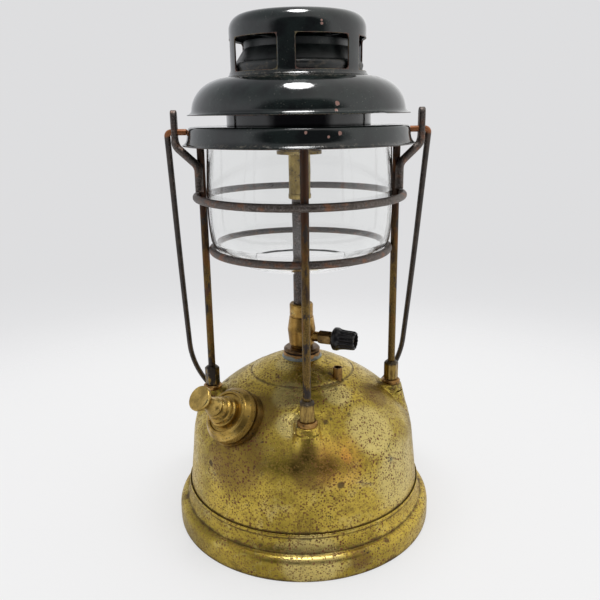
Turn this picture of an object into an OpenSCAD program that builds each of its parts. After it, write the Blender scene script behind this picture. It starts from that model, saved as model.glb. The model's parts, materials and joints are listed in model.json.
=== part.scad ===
// Kerosene pressure lantern, in millimetres.
// Origin: centre of the base on the floor. +Z is up and -Y is the front.

/* [Base ring] */
// Spread of the base beyond the tank's radius
base_spread = 8.2; // [6:0.1:12]
// Height of the base ring, up to the top of its bead
base_h = 27.3; // [24:0.1:34]
// Height of the straight skirt under the roll
skirt_h = 6; // [4:0.1:8]
// Height of the crease between the roll and the cove
crease_h = 16; // [13:0.1:18]
// Width of the flat foot that stands on the floor
foot_w = 2.5; // [1.5:0.1:4]
// Radius of the concave cove under the bead
cove_r = 18; // [15:0.5:30]
// Sheet thickness of the base ring
base_wall = 0.6; // [0.5:0.05:1]

/* [Tank] */
// Radius of the tank inside the base ring
tank_r = 78.5; // [74:0.1:80]
// Taper of the tank's side, in degrees
side_taper = 6; // [4:0.1:8]
// Height where the shoulder's bend begins
shoulder_z = 60.8; // [56:0.1:64]
// Radius of the shoulder's bend
shoulder_bend_r = 27.8; // [24:0.1:32]
// Lean of the wall at the end of the bend, in degrees
shoulder_lean = 39.1; // [36:0.1:42]
// Radius of the long arch over the bend
shoulder_arch_r = 98.4; // [90:0.1:110]
// Radius of the crease round the central dome
dome_foot_r = 34; // [30:0.1:38]
// Step up from the shoulder to the dome
dome_step = 0.5; // [0.2:0.1:1.5]
// Radius of the sphere that the dome is part of
dome_sphere_r = 61; // [50:0.5:90]
// Wall of the tank
tank_wall = 1; // [0.8:0.1:1.5]
// Height of the tank's lower edge over the floor
tank_z0 = 7; // [4:0.1:12]
// Rise of the dished tank bottom
bottom_rise = 6; // [3:0.1:10]

/* [Posts and rings] */
// Distance of each post from the lantern's axis
post_r = 60.8; // [58:0.1:64]
// Diameter of the post rods
post_d = 4.75; // [4:0.05:5.5]
// Length of the posts
post_len = 170.5; // [160:0.5:185]
// Rise of the post bosses over the shoulder
boss_rise = 6; // [4:0.1:8]
// Diameter of the post bosses at their top
boss_d = 12.8; // [11:0.1:14]
// Height of the collar on each boss
collar_h = 3; // [2:0.1:4]
// Length of the sleeve nut on each post
post_nut_h = 13; // [10:0.1:16]
// Width of the sleeve nut across its flats
post_nut_af = 8.4; // [8:0.1:10]
// Height of the low ring over the bosses
low_ring_up = 96.2; // [85:0.1:105]
// Height of the mid ring over the bosses
mid_ring_up = 129.6; // [120:0.1:140]
// Wire diameter of both rings
ring_d = 4.7; // [4:0.05:5]
// Depth that the welded mid ring bites into the posts
weld_bite = 1.1; // [0.5:0.1:1.5]

/* [Ears and bail] */
// Diameter of the ear rods
ear_d = 5; // [4.5:0.1:5.5]
// Distance of the ear eyes from the lantern's axis
ear_x = 75.9; // [75.5:0.1:78]
// Thickness of the flattened eyes
eye_t = 4; // [3:0.1:4.4]
// Width of the flattened eyes
eye_w = 7; // [6.5:0.1:9]
// Height of the bail's pivot over the mid ring
pivot_up = 38.9; // [37:0.1:42]
// Length of the eye over the pivot
eye_over = 13; // [8:0.1:18]
// Bend of the ear rods away from the posts, in degrees
ear_bend = 50; // [40:1:60]
// Wire diameter of the bail
bail_d = 3.8; // [3:0.1:4.5]
// Half width of the bail at its pivot
bail_x = 80.5; // [80.4:0.1:84]
// Radius of the bail's arch
bail_r = 85.5; // [84:0.1:92]
// Reach of the bail from its pivot to the middle of its arch
bail_len = 253; // [235:1:265]

/* [Glass] */
// Outer radius of the glass
glass_r = 56.7; // [54:0.1:57.4]
// Wall of the glass
glass_wall = 2; // [1.5:0.1:3]
// Height of the rounded-in foot of the glass
glass_foot_h = 18; // [14:0.1:22]
// Radius of the opening in the foot of the glass
glass_hole_r = 30.8; // [24:0.1:36]
// Height of the start of the rounded foot over the low ring
glass_seat_up = 6.5; // [6.4:0.1:9]

/* [Hood] */
// Radius of the top plate at its lip
plate_lip_r = 71; // [70:0.1:72]
// Radius of the top plate's upper face
plate_r = 66.1; // [65:0.1:68]
// Depth of the top plate, over all
plate_h = 11.1; // [8:0.1:12]
// Sheet thickness of the plate, dome and cap
hood_wall = 0.8; // [0.6:0.05:1.2]
// Radius of the collar between the plate and the dome
hood_collar_r = 44; // [43.5:0.1:48]
// Height of the brim over the plate
brim_up = 5.5; // [4:0.1:9]
// Radius of the hood's shoulder
hood_r = 64.7; // [60:0.1:67]
// Height of the hood's rounded shoulder
hood_shoulder_h = 19.5; // [15:0.1:24]
// Radius of the flare at the brim
brim_flare_r = 4.6; // [3:0.1:6]
// Radius of the cap's wall
cap_r = 40.6; // [40.2:0.1:41.5]
// Height of the hood's cap
cap_h = 35.7; // [32:0.1:42]
// Radius of the cap's rounded edge
cap_edge_r = 9; // [6:0.1:12]
// Slope of the cap's crown at its edge, in degrees
cap_slope = 13; // [6:0.5:20]
// Number of windows round the cap
window_count = 6; // [4:1:8]
// Width of each window
window_w = 31.3; // [26:0.1:33]
// Height of each window
window_h = 18.4; // [12:0.1:19]
// Turn of the first window from the front, in degrees
window_turn = 18.6; // [0:0.1:60]
// Height of each window's sill over the foot of the cap
window_sill = 2.8; // [2.2:0.1:5]
// Radius of the flue's mouth
flue_r = 32; // [26:0.1:34]
// Height of the flue
flue_h = 20.2; // [15:0.1:21]

/* [Burner] */
// Outer diameter of the mixing tube
mixer_d = 13.6; // [13:0.1:15]
// Wall of the mixing tube
mixer_wall = 1.2; // [0.8:0.1:1.3]
// Drop of the mixing tube below the top plate
mixer_drop = 43.6; // [36:0.1:50]
// Diameter of the burner head's flange
head_d = 28; // [26:0.1:34]
// Drop of the burner head's flange below the top plate
head_drop = 14; // [10:0.1:18]
// Radius of the mixing chamber
chamber_r = 22; // [18:0.1:28]
// Height of the mixing chamber
chamber_h = 18; // [14:0.1:22]
// Width of the strip that carries the burner
bridge_w = 27; // [26.5:0.5:34]

/* [Control valve and vaporiser] */
// Radius of the collar soldered on the dome
boss_ring_r = 12.45; // [11:0.05:14]
// Height of the collar's top over the dome
boss_ring_up = 2.2; // [1.5:0.1:4]
// Radius of the flange nut
flange_nut_r = 12.1; // [10:0.1:13]
// Height of the flange nut
flange_nut_h = 2.2; // [1.8:0.1:4]
// Greatest radius of the control body
body_r = 9.25; // [8.6:0.05:11]
// Height of the control body over the flange nut
body_h = 30.3; // [27:0.1:36]
// Height of the valve's axis over the flange nut
valve_up = 7.8; // [7:0.1:10]
// Direction of the valve's axis, in degrees from +X towards the front
valve_turn = 24.7; // [0:0.1:45]
// Diameter of the valve's spindle
spindle_d = 3; // [2.4:0.1:3.4]
// Length of the black knob
knob_len = 16; // [13:0.1:20]
// Diameter of the black knob at its back
knob_d = 15.2; // [13:0.1:18]
// Number of flutes on the black knob
flute_count = 12; // [8:1:16]
// Outer diameter of the vaporiser tube
vap_d = 10; // [9:0.1:10.4]
// Wall of the vaporiser tube
vap_wall = 1.8; // [1.4:0.1:2]
// Length of vaporiser tube inside the mixing tube
vap_lap = 13; // [8:0.1:18]
// Throw of the cam that lifts the pricker needle
cam_throw = 1; // [0.6:0.1:1.2]

/* [Filler cap and pump] */
// Distance of the filler's foot from the lantern's axis
filler_r = 60.1; // [58:0.1:63]
// Direction of the filler, in degrees from the front towards the left
filler_turn = 47; // [40:0.5:52]
// Tilt of the filler's axis over the horizon, in degrees
filler_tilt = 40; // [36:0.5:46]
// Rise of the filler's foot over the shoulder
filler_rise = 2; // [1:0.1:4]
// Diameter of the filler neck
neck_d = 28; // [26:0.1:30]
// Diameter of the neck's flange
neck_flange_d = 37; // [35.5:0.1:40]
// Height of the neck over its foot
neck_h = 6.2; // [5:0.1:8]
// Diameter of the knurled cap
filler_cap_d = 35; // [33:0.1:38]
// Height of the cap's knurled band
knurl_h = 5.4; // [4:0.1:7]
// Outer diameter of the pump barrel
barrel_d = 16; // [14:0.1:17.6]
// Wall of the pump barrel
barrel_wall = 0.6; // [0.5:0.1:1]
// Length of the pump barrel below the filler's foot
barrel_len = 57; // [50:0.5:60]
// Diameter of the pump rod
rod_d = 5; // [4:0.1:6]
// Length of the pump's lid over its seat
lid_h = 10; // [8:0.1:13]
// Length of the pump's brass knob
pump_knob_h = 15.2; // [12:0.1:18]
// Diameter of the pump's brass knob
pump_knob_d = 15.5; // [13:0.1:18]

/* [Small fittings] */
// Bore of the accessory socket
socket_bore = 5; // [4:0.1:6]
// Wall of the accessory socket
socket_wall = 0.5; // [0.4:0.1:1]
// Height of the accessory socket over the dome's foot
socket_h = 7; // [6:0.1:12]
// Distance of the accessory socket from the lantern's axis
socket_r = 31.6; // [26:0.1:31.8]
// Direction of the accessory socket, in degrees from the front to the right
socket_turn = 44; // [20:1:70]
// Outer diameter of the fuel pickup tube
pickup_d = 6; // [5:0.1:7]

/* [Fits] */
// Radial gap of soldered, screwed and pressed joints
fit = 0.05; // [0.03:0.01:0.1]
// Radial gap of pins and shafts that turn
running = 0.08; // [0.05:0.01:0.1]
// Gap between pieces that lift or turn past each other
clear = 0.3; // [0.25:0.05:0.5]

/* [Hidden] */
$fn = 72;
arc_steps = 10;
lap = 0.1;
hair = 0.02;

// Colours
brass = "#a98a3c";
polished_brass = "#b8903c";
enamel = "#20282a";
old_steel = "#4c4038";
dark_wire = "#2b241f";
bakelite = "#19171a";
clear_glass = [0.85, 0.9, 0.9, 0.35];
rubber = "#2a2522";
hide = "#6b4a2c";

// ---- Curves ----

// Points on a circular or elliptical arc in the (radius, height) plane
function arc(centre, rx, rz, from, to, steps = arc_steps) =
    [for (i = [0:steps]) let (t = from + (to - from) * i / steps)
        [centre[0] + rx * cos(t), centre[1] + rz * sin(t)]];

// Superellipse quadrant from its widest point downwards
function under_quadrant(centre, rx, rz, power, to) =
    [for (i = [0:arc_steps]) let (t = to * i / arc_steps)
        [centre[0] + rx * pow(cos(t), 2 / power), centre[1] - rz * pow(sin(t), 2 / power)]];

// Unit normal on the left of a path, at point i
function left_of(path, i) =
    let (
        a = path[max(i - 1, 0)],
        b = path[min(i + 1, len(path) - 1)],
        d = b - a
    )
    [-d[1], d[0]] / norm(d);

// Closed section of a sheet whose outer face is the path and whose wall lies on its left
function sheet(path, wall) = concat(path, [
    for (i = [len(path) - 1:-1:0]) let (p = path[i] + wall * left_of(path, i)) [max(p[0], 0), p[1]]
]);

module spin(points) {
    rotate_extrude() polygon(points);
}

module tube(outer_r, inner_r, h) {
    difference() {
        cylinder(r = outer_r, h = h);
        translate([0, 0, -1]) cylinder(r = inner_r, h = h + 2);
    }
}

// A straight length between two bends: it laps into both, and is a hair thinner than they are
module straight_rod(d, run) {
    translate([0, 0, -lap]) cylinder(d = d - hair, h = run + 2 * lap);
}

// A bent rod that starts up +Z; each step is [straight length, turn towards +X, bend radius]
module bent_rod(steps, d, i = 0) {
    if (i < len(steps)) {
        run = steps[i][0];
        turn = abs(steps[i][1]);
        side = steps[i][1] < 0 ? 180 : 0;
        r = steps[i][2];
        straight_rod(d, run);
        if (turn > 0)
            translate([0, 0, run]) rotate([0, 0, side]) {
                translate([r, 0, 0]) rotate([90, 0, 0]) rotate([0, 0, 180 - turn])
                    rotate_extrude(angle = turn) translate([r, 0]) circle(d = d);
                translate([r - r * cos(turn), 0, r * sin(turn)]) rotate([0, turn, 0])
                    rotate([0, 0, -side]) bent_rod(steps, d, i + 1);
            }
    }
}

module at_posts() {
    for (turn = [0:90:270])
        rotate([0, 0, turn]) translate([post_r, 0, 0]) children();
}

// ---- Derived heights, from the floor up ----

base_r = tank_r + base_spread;
bead_h = 2.5;
bead_bulge = 0.5;
roll_sweep = 76;
cove_top = base_h - bead_h;
cove_top_r = tank_r + fit + base_wall;
crease_turn = asin((cove_top - crease_h) / cove_r);
crease_r = cove_top_r + cove_r * (1 - cos(crease_turn));

bend_start = [tank_r - (shoulder_z - cove_top) * tan(side_taper), shoulder_z];
bend_centre = bend_start - shoulder_bend_r * [cos(side_taper), sin(side_taper)];
bend_end = bend_centre + shoulder_bend_r * [cos(shoulder_lean), sin(shoulder_lean)];
arch_centre = bend_end - shoulder_arch_r * [cos(shoulder_lean), sin(shoulder_lean)];

// Height of the shoulder over the floor at a radius
function shoulder_at(r) =
    let (
        on_arch = r < bend_end[0],
        c = on_arch ? arch_centre : bend_centre,
        arc_r = on_arch ? shoulder_arch_r : shoulder_bend_r
    )
    c[1] + sqrt(arc_r * arc_r - pow(r - c[0], 2));

shoulder_top = shoulder_at(dome_foot_r);
shoulder_end = acos((dome_foot_r - arch_centre[0]) / shoulder_arch_r);
shoulder_arch = arc(arch_centre, shoulder_arch_r, shoulder_arch_r, shoulder_lean, shoulder_end);
shoulder_curve = concat(
    arc(bend_centre, shoulder_bend_r, shoulder_bend_r, side_taper, shoulder_lean, 6),
    [for (i = [1:arc_steps]) shoulder_arch[i]]
);
dome_r0 = dome_foot_r - dome_step;
dome_foot_turn = acos(dome_r0 / dome_sphere_r);
dome_z0 = shoulder_top + dome_step;
dome_centre_z = dome_z0 - dome_sphere_r * sin(dome_foot_turn);
dome_top = dome_centre_z + dome_sphere_r;
tank_hole_r = 9;
bottom_rim_h = 4;
bottom_z = tank_z0 + bottom_rim_h + bottom_rise;

function dome_at(r) = dome_centre_z + sqrt(dome_sphere_r * dome_sphere_r - r * r);

boss_top = shoulder_at(post_r) + boss_rise;
nut_z = boss_top + collar_h;
low_ring_z = boss_top + low_ring_up;
mid_ring_z = boss_top + mid_ring_up;
low_ring_r = post_r - post_d / 2 - ring_d / 2;
mid_ring_r = post_r + post_d / 2 + ring_d / 2 - weld_bite;
post_top = boss_top + post_len;
pivot_z = mid_ring_z + pivot_up;

plate_z = post_top + clear;
plate_top = plate_z + hood_wall;
lip_z = plate_top - plate_h;
brim_z = plate_top + brim_up;
brim_sweep = 70;
hood_start = 5;
dome_side_z = brim_z + brim_flare_r * sin(brim_sweep) - hood_shoulder_h * sin(hood_start);
crown_r = cap_r + 1.9;
crown_z = dome_side_z + hood_shoulder_h;
cap_top = crown_z + cap_h;
crown_edge_r = cap_r - cap_edge_r + cap_edge_r * sin(cap_slope);
crown_sphere = crown_edge_r / sin(cap_slope);
crown_sag = crown_sphere * (1 - cos(cap_slope));
glass_top = plate_z - clear;
glass_seat_z = low_ring_z + glass_seat_up;

bridge_t = 1.2;
head_t = 2;
sleeve_r = head_d / 2 - 2;
sleeve_wall = 1;
mixer_z0 = plate_z - mixer_drop;
head_z = plate_z - head_drop - head_t;
chamber_z = plate_z + 1.2;
vap_top = mixer_z0 + vap_lap;

washer_z = dome_top + boss_ring_up;
washer_h = 0.8;
flange_z = washer_z + washer_h;
body_z = flange_z + flange_nut_h;
body_top = body_z + body_h;
valve_z = body_z + valve_up;
vap_socket_z = body_top - 7.5;
stem_r = 6;
stem_z = dome_top - 6;
stem_bore_z = dome_top;
filter_gap = 2;
chamber_bore_r = 4;
valve_neck_r = 3.35;
valve_neck_end = 17;
packing_h = 1.8;
gland_z = 12.7;
gland_end = 21.4;
knob_z = gland_end + clear + 0.1;
knob_hollow = 4;
cam_r = 2.2;
cam_t = 3;
needle_r = 0.35;
jet_orifice_z = vap_top + 5;

filler_z = shoulder_at(filler_r) + filler_rise;
filler_root = 9;
flange_t = 1.2;
neck_wall = 3;
cap_web_z = neck_h + 1.2;
cap_web_top = cap_web_z + 2;
knurl_z = neck_h + 0.8 - knurl_h;
barrel_bore_r = barrel_d / 2 - barrel_wall;
lid_skirt_h = 4;
lid_top = cap_web_top + lid_h;
piston_z = -barrel_len + 6;
cup_h = 4.5;
cup_t = 1.5;
plate_t = 1.5;
rod_tip_d = 3;
rod_grip = 7.7;
stroke = cap_web_top - lid_skirt_h - (piston_z + cup_h + plate_t) - 0.4;

socket_outer_r = socket_bore / 2 + socket_wall;

module on_filler_axis() {
    rotate([0, 0, -filler_turn]) translate([0, -filler_r, filler_z])
        rotate([90 - filler_tilt, 0, 0]) children();
}

module on_valve_axis() {
    translate([0, 0, valve_z]) rotate([0, 0, -valve_turn]) rotate([0, 90, 0]) children();
}

// ---- Tank and base ----

tank_outline = concat(
    [[tank_r, tank_z0], [tank_r, cove_top]],
    shoulder_curve,
    arc([0, dome_centre_z], dome_sphere_r, dome_sphere_r, dome_foot_turn, 90)
);

// The tank's outer form as one solid, for pieces that sit on it
module tank_form() {
    spin(concat(tank_outline, [[0, tank_z0]]));
}

module base_ring() {
    foot_edge = 0.3;
    roll = arc([crease_r, skirt_h], base_r - crease_r, crease_h - skirt_h, 0, roll_sweep);
    cove = arc([cove_top_r + cove_r, cove_top], cove_r, cove_r, 180 + crease_turn, 180);
    bead = arc([cove_top_r, cove_top + bead_h / 2], bead_bulge, bead_h / 2, -80, 90, 6);
    outer = concat([[base_r - foot_w, 0], [base_r - foot_edge, 0]], roll, cove, bead);
    color(brass) spin(sheet(outer, base_wall));
}

module tank_bottom() {
    rim_r = tank_r - tank_wall - fit;
    dish_r = (rim_r * rim_r + bottom_rise * bottom_rise) / (2 * bottom_rise);
    rim_turn = asin(rim_r / dish_r);
    dish = arc([0, bottom_z - dish_r], dish_r, dish_r, 90 - rim_turn, 90);
    color(brass) spin(sheet(concat([[rim_r, tank_z0]], dish), tank_wall));
}

module tank_shell() {
    open_top = [for (p = tank_outline) if (p[0] > tank_hole_r + fit) p];
    color(brass) difference() {
        spin(sheet(open_top, tank_wall));
        on_filler_axis() translate([0, 0, -barrel_len / 2]) cylinder(d = neck_d + 2 * fit, h = barrel_len);
        rotate([0, 0, socket_turn]) translate([0, -socket_r, dome_at(socket_r) - socket_h])
            cylinder(r = socket_outer_r + fit, h = 2 * socket_h);
    }
}

module tank_collar() {
    fillet = 0.9;
    edge = 0.4;
    foot_r = boss_ring_r + fillet;
    foot_z = dome_at(foot_r) + 0.3;
    root_z = stem_z + 1;
    under = dome_top - 4;
    section = [
        [stem_r + fit, root_z], [tank_hole_r, root_z], [tank_hole_r, under], [foot_r, under],
        [foot_r, foot_z], [boss_ring_r, foot_z + fillet],
        [boss_ring_r, washer_z - edge], [boss_ring_r - edge, washer_z], [stem_r + fit, washer_z]
    ];
    color(brass) difference() {
        spin(section);
        difference() {
            tank_form();
            translate([0, 0, tank_z0]) cylinder(r = tank_hole_r, h = dome_top);
        }
    }
}

module post_bosses() {
    spread = 3;
    boss_foot = shoulder_at(post_r + boss_d / 2) - spread;
    color(brass) difference() {
        at_posts() translate([0, 0, boss_foot])
            cylinder(d1 = boss_d + spread, d2 = boss_d, h = boss_top - boss_foot);
        tank_form();
    }
}

module post_collars() {
    bore_r = post_d / 2 + fit;
    outer_r = boss_d / 2 - 0.1;
    foot_edge = 0.5;
    top_edge = 0.9;
    color(polished_brass) at_posts() translate([0, 0, boss_top]) spin([
        [bore_r, 0], [outer_r - 0.2, 0], [outer_r, foot_edge],
        [outer_r, collar_h - top_edge], [outer_r - top_edge, collar_h], [bore_r, collar_h]
    ]);
}

module post_nuts() {
    corner_r = post_nut_af / 2 / cos(30);
    chamfer = 0.7;
    color(brass) at_posts() translate([0, 0, nut_z]) difference() {
        intersection() {
            cylinder(r = corner_r, h = post_nut_h, $fn = 6);
            spin([
                [0, 0], [corner_r - chamfer, 0], [corner_r, chamfer], [corner_r, post_nut_h - 2 * chamfer],
                [post_d / 2 + 0.8, post_nut_h], [0, post_nut_h]
            ]);
        }
        translate([0, 0, -1]) cylinder(d = post_d + 2 * fit, h = post_nut_h + 2);
    }
}

module posts() {
    color(old_steel) at_posts() translate([0, 0, boss_top]) cylinder(d = post_d, h = post_len);
}

module wire_ring(r, z) {
    translate([0, 0, z]) rotate_extrude() translate([r, 0]) circle(d = ring_d);
}

module low_ring() {
    color(old_steel) wire_ring(low_ring_r, low_ring_z);
}

module mid_ring() {
    color(old_steel) wire_ring(mid_ring_r, mid_ring_z);
}

// The right ear: a rod welded on the front of the post, bent out to a flattened eye
module ear() {
    foot_x = post_r + 1.4;
    weld_lap = 0.5;
    foot_y = weld_lap - (post_d + ear_d) / 2;
    reach = norm([ear_x - foot_x, foot_y]);
    plan_turn = atan2(-foot_y, ear_x - foot_x);
    foot_z = mid_ring_z + ring_d / 2 + 0.7;
    bend_r = 7;
    slope = (reach - 2 * bend_r * (1 - cos(ear_bend))) / sin(ear_bend);
    rise = slope * cos(ear_bend) + 2 * bend_r * sin(ear_bend);
    eye_under = 5;
    eye_foot = pivot_z - eye_under;
    difference() {
        union() {
            translate([foot_x, foot_y, foot_z]) rotate([0, 0, plan_turn])
                bent_rod([
                    [eye_foot - foot_z - rise, ear_bend, bend_r],
                    [slope, -ear_bend, bend_r],
                    [1, 0, 0]
                ], ear_d);
            translate([ear_x - eye_t / 2, -eye_w / 2, eye_foot])
                cube([eye_t, eye_w, eye_under + eye_over - eye_w / 2]);
            for (z = [eye_foot, pivot_z + eye_over - eye_w / 2])
                translate([ear_x - eye_t / 2, 0, z]) rotate([0, 90, 0]) cylinder(d = eye_w, h = eye_t);
        }
        translate([ear_x - eye_t, 0, pivot_z]) rotate([0, 90, 0])
            cylinder(d = bail_d + 2 * running, h = 2 * eye_t);
    }
}

module right_ear() {
    color(old_steel) ear();
}

module left_ear() {
    color(old_steel) mirror([1, 0, 0]) ear();
}

module accessory_socket() {
    root = 2.5;
    floor_t = 2;
    foot = dome_at(socket_r) - root;
    color(polished_brass) rotate([0, 0, socket_turn]) translate([0, -socket_r, foot]) difference() {
        cylinder(r = socket_outer_r, h = root + socket_h);
        translate([0, 0, floor_t]) cylinder(d = socket_bore, h = root + socket_h);
    }
}

// ---- Vaporiser and control valve ----

module fuel_pickup() {
    pickup_wall = 0.8;
    foot = bottom_z + filter_gap + 4;
    color(brass) translate([0, 0, foot]) tube(pickup_d / 2, pickup_d / 2 - pickup_wall, stem_bore_z - foot);
}

module pickup_filter() {
    filter_h = 14;
    end_t = 2;
    gauze = 0.8;
    inner_r = pickup_d / 2 + gauze;
    color(old_steel) translate([0, 0, bottom_z + filter_gap]) difference() {
        cylinder(r = inner_r + gauze, h = filter_h);
        translate([0, 0, end_t]) cylinder(r = inner_r, h = filter_h - 2 * end_t);
        translate([0, 0, 2 * end_t]) cylinder(d = pickup_d + 2 * fit, h = filter_h);
    }
}

module seal_washer() {
    color(rubber) translate([0, 0, washer_z]) tube(flange_nut_r - 0.9, stem_r + fit, washer_h);
}

module flange_nut() {
    color(brass) translate([0, 0, flange_z]) spin([
        [stem_r + fit, 0], [flange_nut_r - 0.3, 0], [flange_nut_r, 0.4],
        [flange_nut_r, flange_nut_h - 1], [flange_nut_r - 1.2, flange_nut_h], [stem_r + fit, flange_nut_h]
    ]);
}

module control_body() {
    foot_r = body_r - 1.9;
    groove_r = body_r - 2.1;
    collar_r = body_r - 1.5;
    collar_z = body_top - 8.2;
    groove_z = collar_z - 0.8;
    widest_z = body_z + 0.41 * body_h;
    fuel_way_r = 1.5;
    color(brass) difference() {
        union() {
            translate([0, 0, stem_z]) cylinder(r = stem_r, h = body_z - stem_z);
            spin([
                [0, body_z], [foot_r, body_z], [foot_r, body_z + 1.4], [body_r - 0.95, body_z + 2.2],
                [body_r, widest_z], [body_r - 1.3, groove_z], [groove_r, groove_z],
                [groove_r, collar_z], [collar_r - 0.05, collar_z], [collar_r, body_top - 1],
                [collar_r - 0.7, body_top], [0, body_top]
            ]);
            on_valve_axis() cylinder(r = valve_neck_r, h = valve_neck_end);
        }
        translate([0, 0, stem_z - 1]) cylinder(d = pickup_d + 2 * fit, h = stem_bore_z - stem_z + 1);
        translate([0, 0, stem_z]) cylinder(r = fuel_way_r, h = body_h);
        translate([0, 0, valve_z - chamber_bore_r - 0.6])
            cylinder(r = chamber_bore_r, h = vap_socket_z - valve_z + 5);
        translate([0, 0, vap_socket_z]) cylinder(d = vap_d + 2 * fit, h = body_h);
        on_valve_axis() cylinder(d = spindle_d + 2 * running, h = valve_neck_end + 1);
    }
}

module gland_nut() {
    corner_r = 4.6;
    chamfer = 0.6;
    edge_r = corner_r - 0.5;
    nut_h = gland_end - gland_z;
    color(brass) on_valve_axis() difference() {
        intersection() {
            translate([0, 0, gland_z]) cylinder(r = corner_r, h = nut_h, $fn = 6);
            spin([
                [0, gland_z], [edge_r, gland_z], [corner_r, gland_z + chamfer],
                [corner_r, gland_end - chamfer], [edge_r, gland_end], [0, gland_end]
            ]);
        }
        cylinder(r = valve_neck_r + fit, h = valve_neck_end + packing_h);
        cylinder(d = spindle_d + 2 * running, h = gland_end + 1);
    }
}

module gland_packing() {
    color(rubber) on_valve_axis() translate([0, 0, valve_neck_end])
        tube(valve_neck_r - fit, spindle_d / 2 + running, packing_h);
}

module vaporiser_tube() {
    color(old_steel) translate([0, 0, vap_socket_z])
        tube(vap_d / 2, vap_d / 2 - vap_wall, vap_top - vap_socket_z);
}

module vaporiser_jet() {
    plug_h = 4;
    hex_h = 3;
    tip_h = 3;
    hex_r = 4;
    orifice_r = needle_r + 0.1;
    color(brass) translate([0, 0, vap_top]) difference() {
        union() {
            translate([0, 0, -plug_h]) cylinder(r = vap_d / 2 - vap_wall - fit, h = plug_h);
            cylinder(r = hex_r, h = hex_h, $fn = 6);
            translate([0, 0, hex_h]) cylinder(r1 = 0.7 * hex_r, r2 = 0.4 * hex_r, h = tip_h);
        }
        translate([0, 0, -plug_h - 1]) cylinder(r = 2 * orifice_r, h = plug_h + hex_h + 3);
        cylinder(r = orifice_r, h = hex_h + tip_h + 1);
    }
}

module valve_spindle() {
    color(polished_brass) on_valve_axis() {
        translate([0, 0, -cam_t / 2]) translate([cam_throw, 0, 0]) cylinder(r = cam_r, h = cam_t);
        cylinder(d = spindle_d, h = knob_z + knob_len - knob_hollow);
    }
}

module control_knob() {
    back_r = knob_d / 2;
    grip_r = back_r - 0.7;
    end_r = back_r - 1.5;
    waist = 5.6;
    slope = 1.6;
    taper = atan((grip_r - end_r) / (knob_len - waist));
    flute_r = PI * end_r / flute_count / 2;
    color(bakelite) on_valve_axis() translate([0, 0, knob_z]) difference() {
        spin([
            [0, 0], [back_r - 1.5 * slope, 0], [back_r, slope], [back_r, waist - slope], [grip_r, waist],
            [end_r, knob_len - 0.8], [end_r - 0.6, knob_len], [0, knob_len]
        ]);
        for (i = [0:flute_count - 1])
            rotate([0, 0, 360 * i / flute_count]) translate([back_r - 0.2, 0, waist])
                rotate([0, -taper, 0]) cylinder(r = flute_r, h = knob_len);
        translate([0, 0, knob_len - knob_hollow]) cylinder(r = end_r - slope, h = knob_len);
        translate([0, 0, -1]) cylinder(d = spindle_d + 2 * fit, h = knob_len);
    }
}

module knob_screw() {
    head_t = 2;
    head_r = spindle_d / 2 + 1.5;
    slot_w = 0.8;
    color(brass) on_valve_axis() translate([0, 0, knob_z + knob_len - knob_hollow]) difference() {
        cylinder(r = head_r, h = head_t);
        translate([-head_r - 1, -slot_w / 2, 0.6 * head_t]) cube([2 * head_r + 2, slot_w, head_t]);
    }
}

module pricker_needle() {
    foot = valve_z - cam_throw + cam_r + 0.5;
    rod_top = vap_top - 8;
    rod_r = 1.3;
    pad_r = cam_r + 0.2;
    pad_h = 1.6;
    color(old_steel) {
        translate([0, 0, foot]) cylinder(r = pad_r, h = pad_h);
        translate([0, 0, foot]) cylinder(r = rod_r, h = rod_top - foot);
        translate([0, 0, rod_top - 1]) cylinder(r = needle_r, h = jet_orifice_z - rod_top);
    }
}

// ---- Bail, glass and hood ----

module bail_handle() {
    bend_r = 2.6;
    rest_y = base_r - 2.5;
    rest_tilt = asin(rest_y / bail_len);
    tip_x = plate_r + 2.2;
    // Each leg is the common tangent of its bend and the arch
    arch_z = bail_len - bail_r;
    reach = bail_x - bend_r;
    rise = arch_z - bend_r;
    spread = atan2(rise, reach) - acos((bail_r - bend_r) / norm([reach, rise]));
    leg = sqrt(reach * reach + rise * rise - pow(bail_r - bend_r, 2));
    color(dark_wire) translate([0, 0, pivot_z]) rotate([rest_tilt, 0, 0]) mirror([0, 0, 1]) {
        for (side = [0, 1]) mirror([side, 0, 0]) {
            translate([tip_x, 0, 0]) rotate([0, 90, 0]) straight_rod(bail_d, reach - tip_x);
            translate([reach, 0, bend_r]) {
                rotate([90, 0, 0]) rotate([0, 0, -90])
                    rotate_extrude(angle = 90 - spread) translate([bend_r, 0]) circle(d = bail_d);
                rotate([0, spread, 0]) translate([bend_r, 0, 0]) straight_rod(bail_d, leg);
            }
        }
        translate([0, 0, arch_z]) rotate([90, 0, 0]) rotate([0, 0, -spread])
            rotate_extrude(angle = 180 + 2 * spread) translate([bail_r, 0]) circle(d = bail_d);
    }
}

module glass_globe() {
    inset = glass_hole_r - 2.8;
    foot = under_quadrant([inset, glass_seat_z], glass_r - inset, glass_foot_h, 1.5, 84);
    side = concat([for (i = [len(foot) - 1:-1:0]) foot[i]], [[glass_r, glass_top]]);
    color(clear_glass) spin(sheet(side, glass_wall));
}

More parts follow.
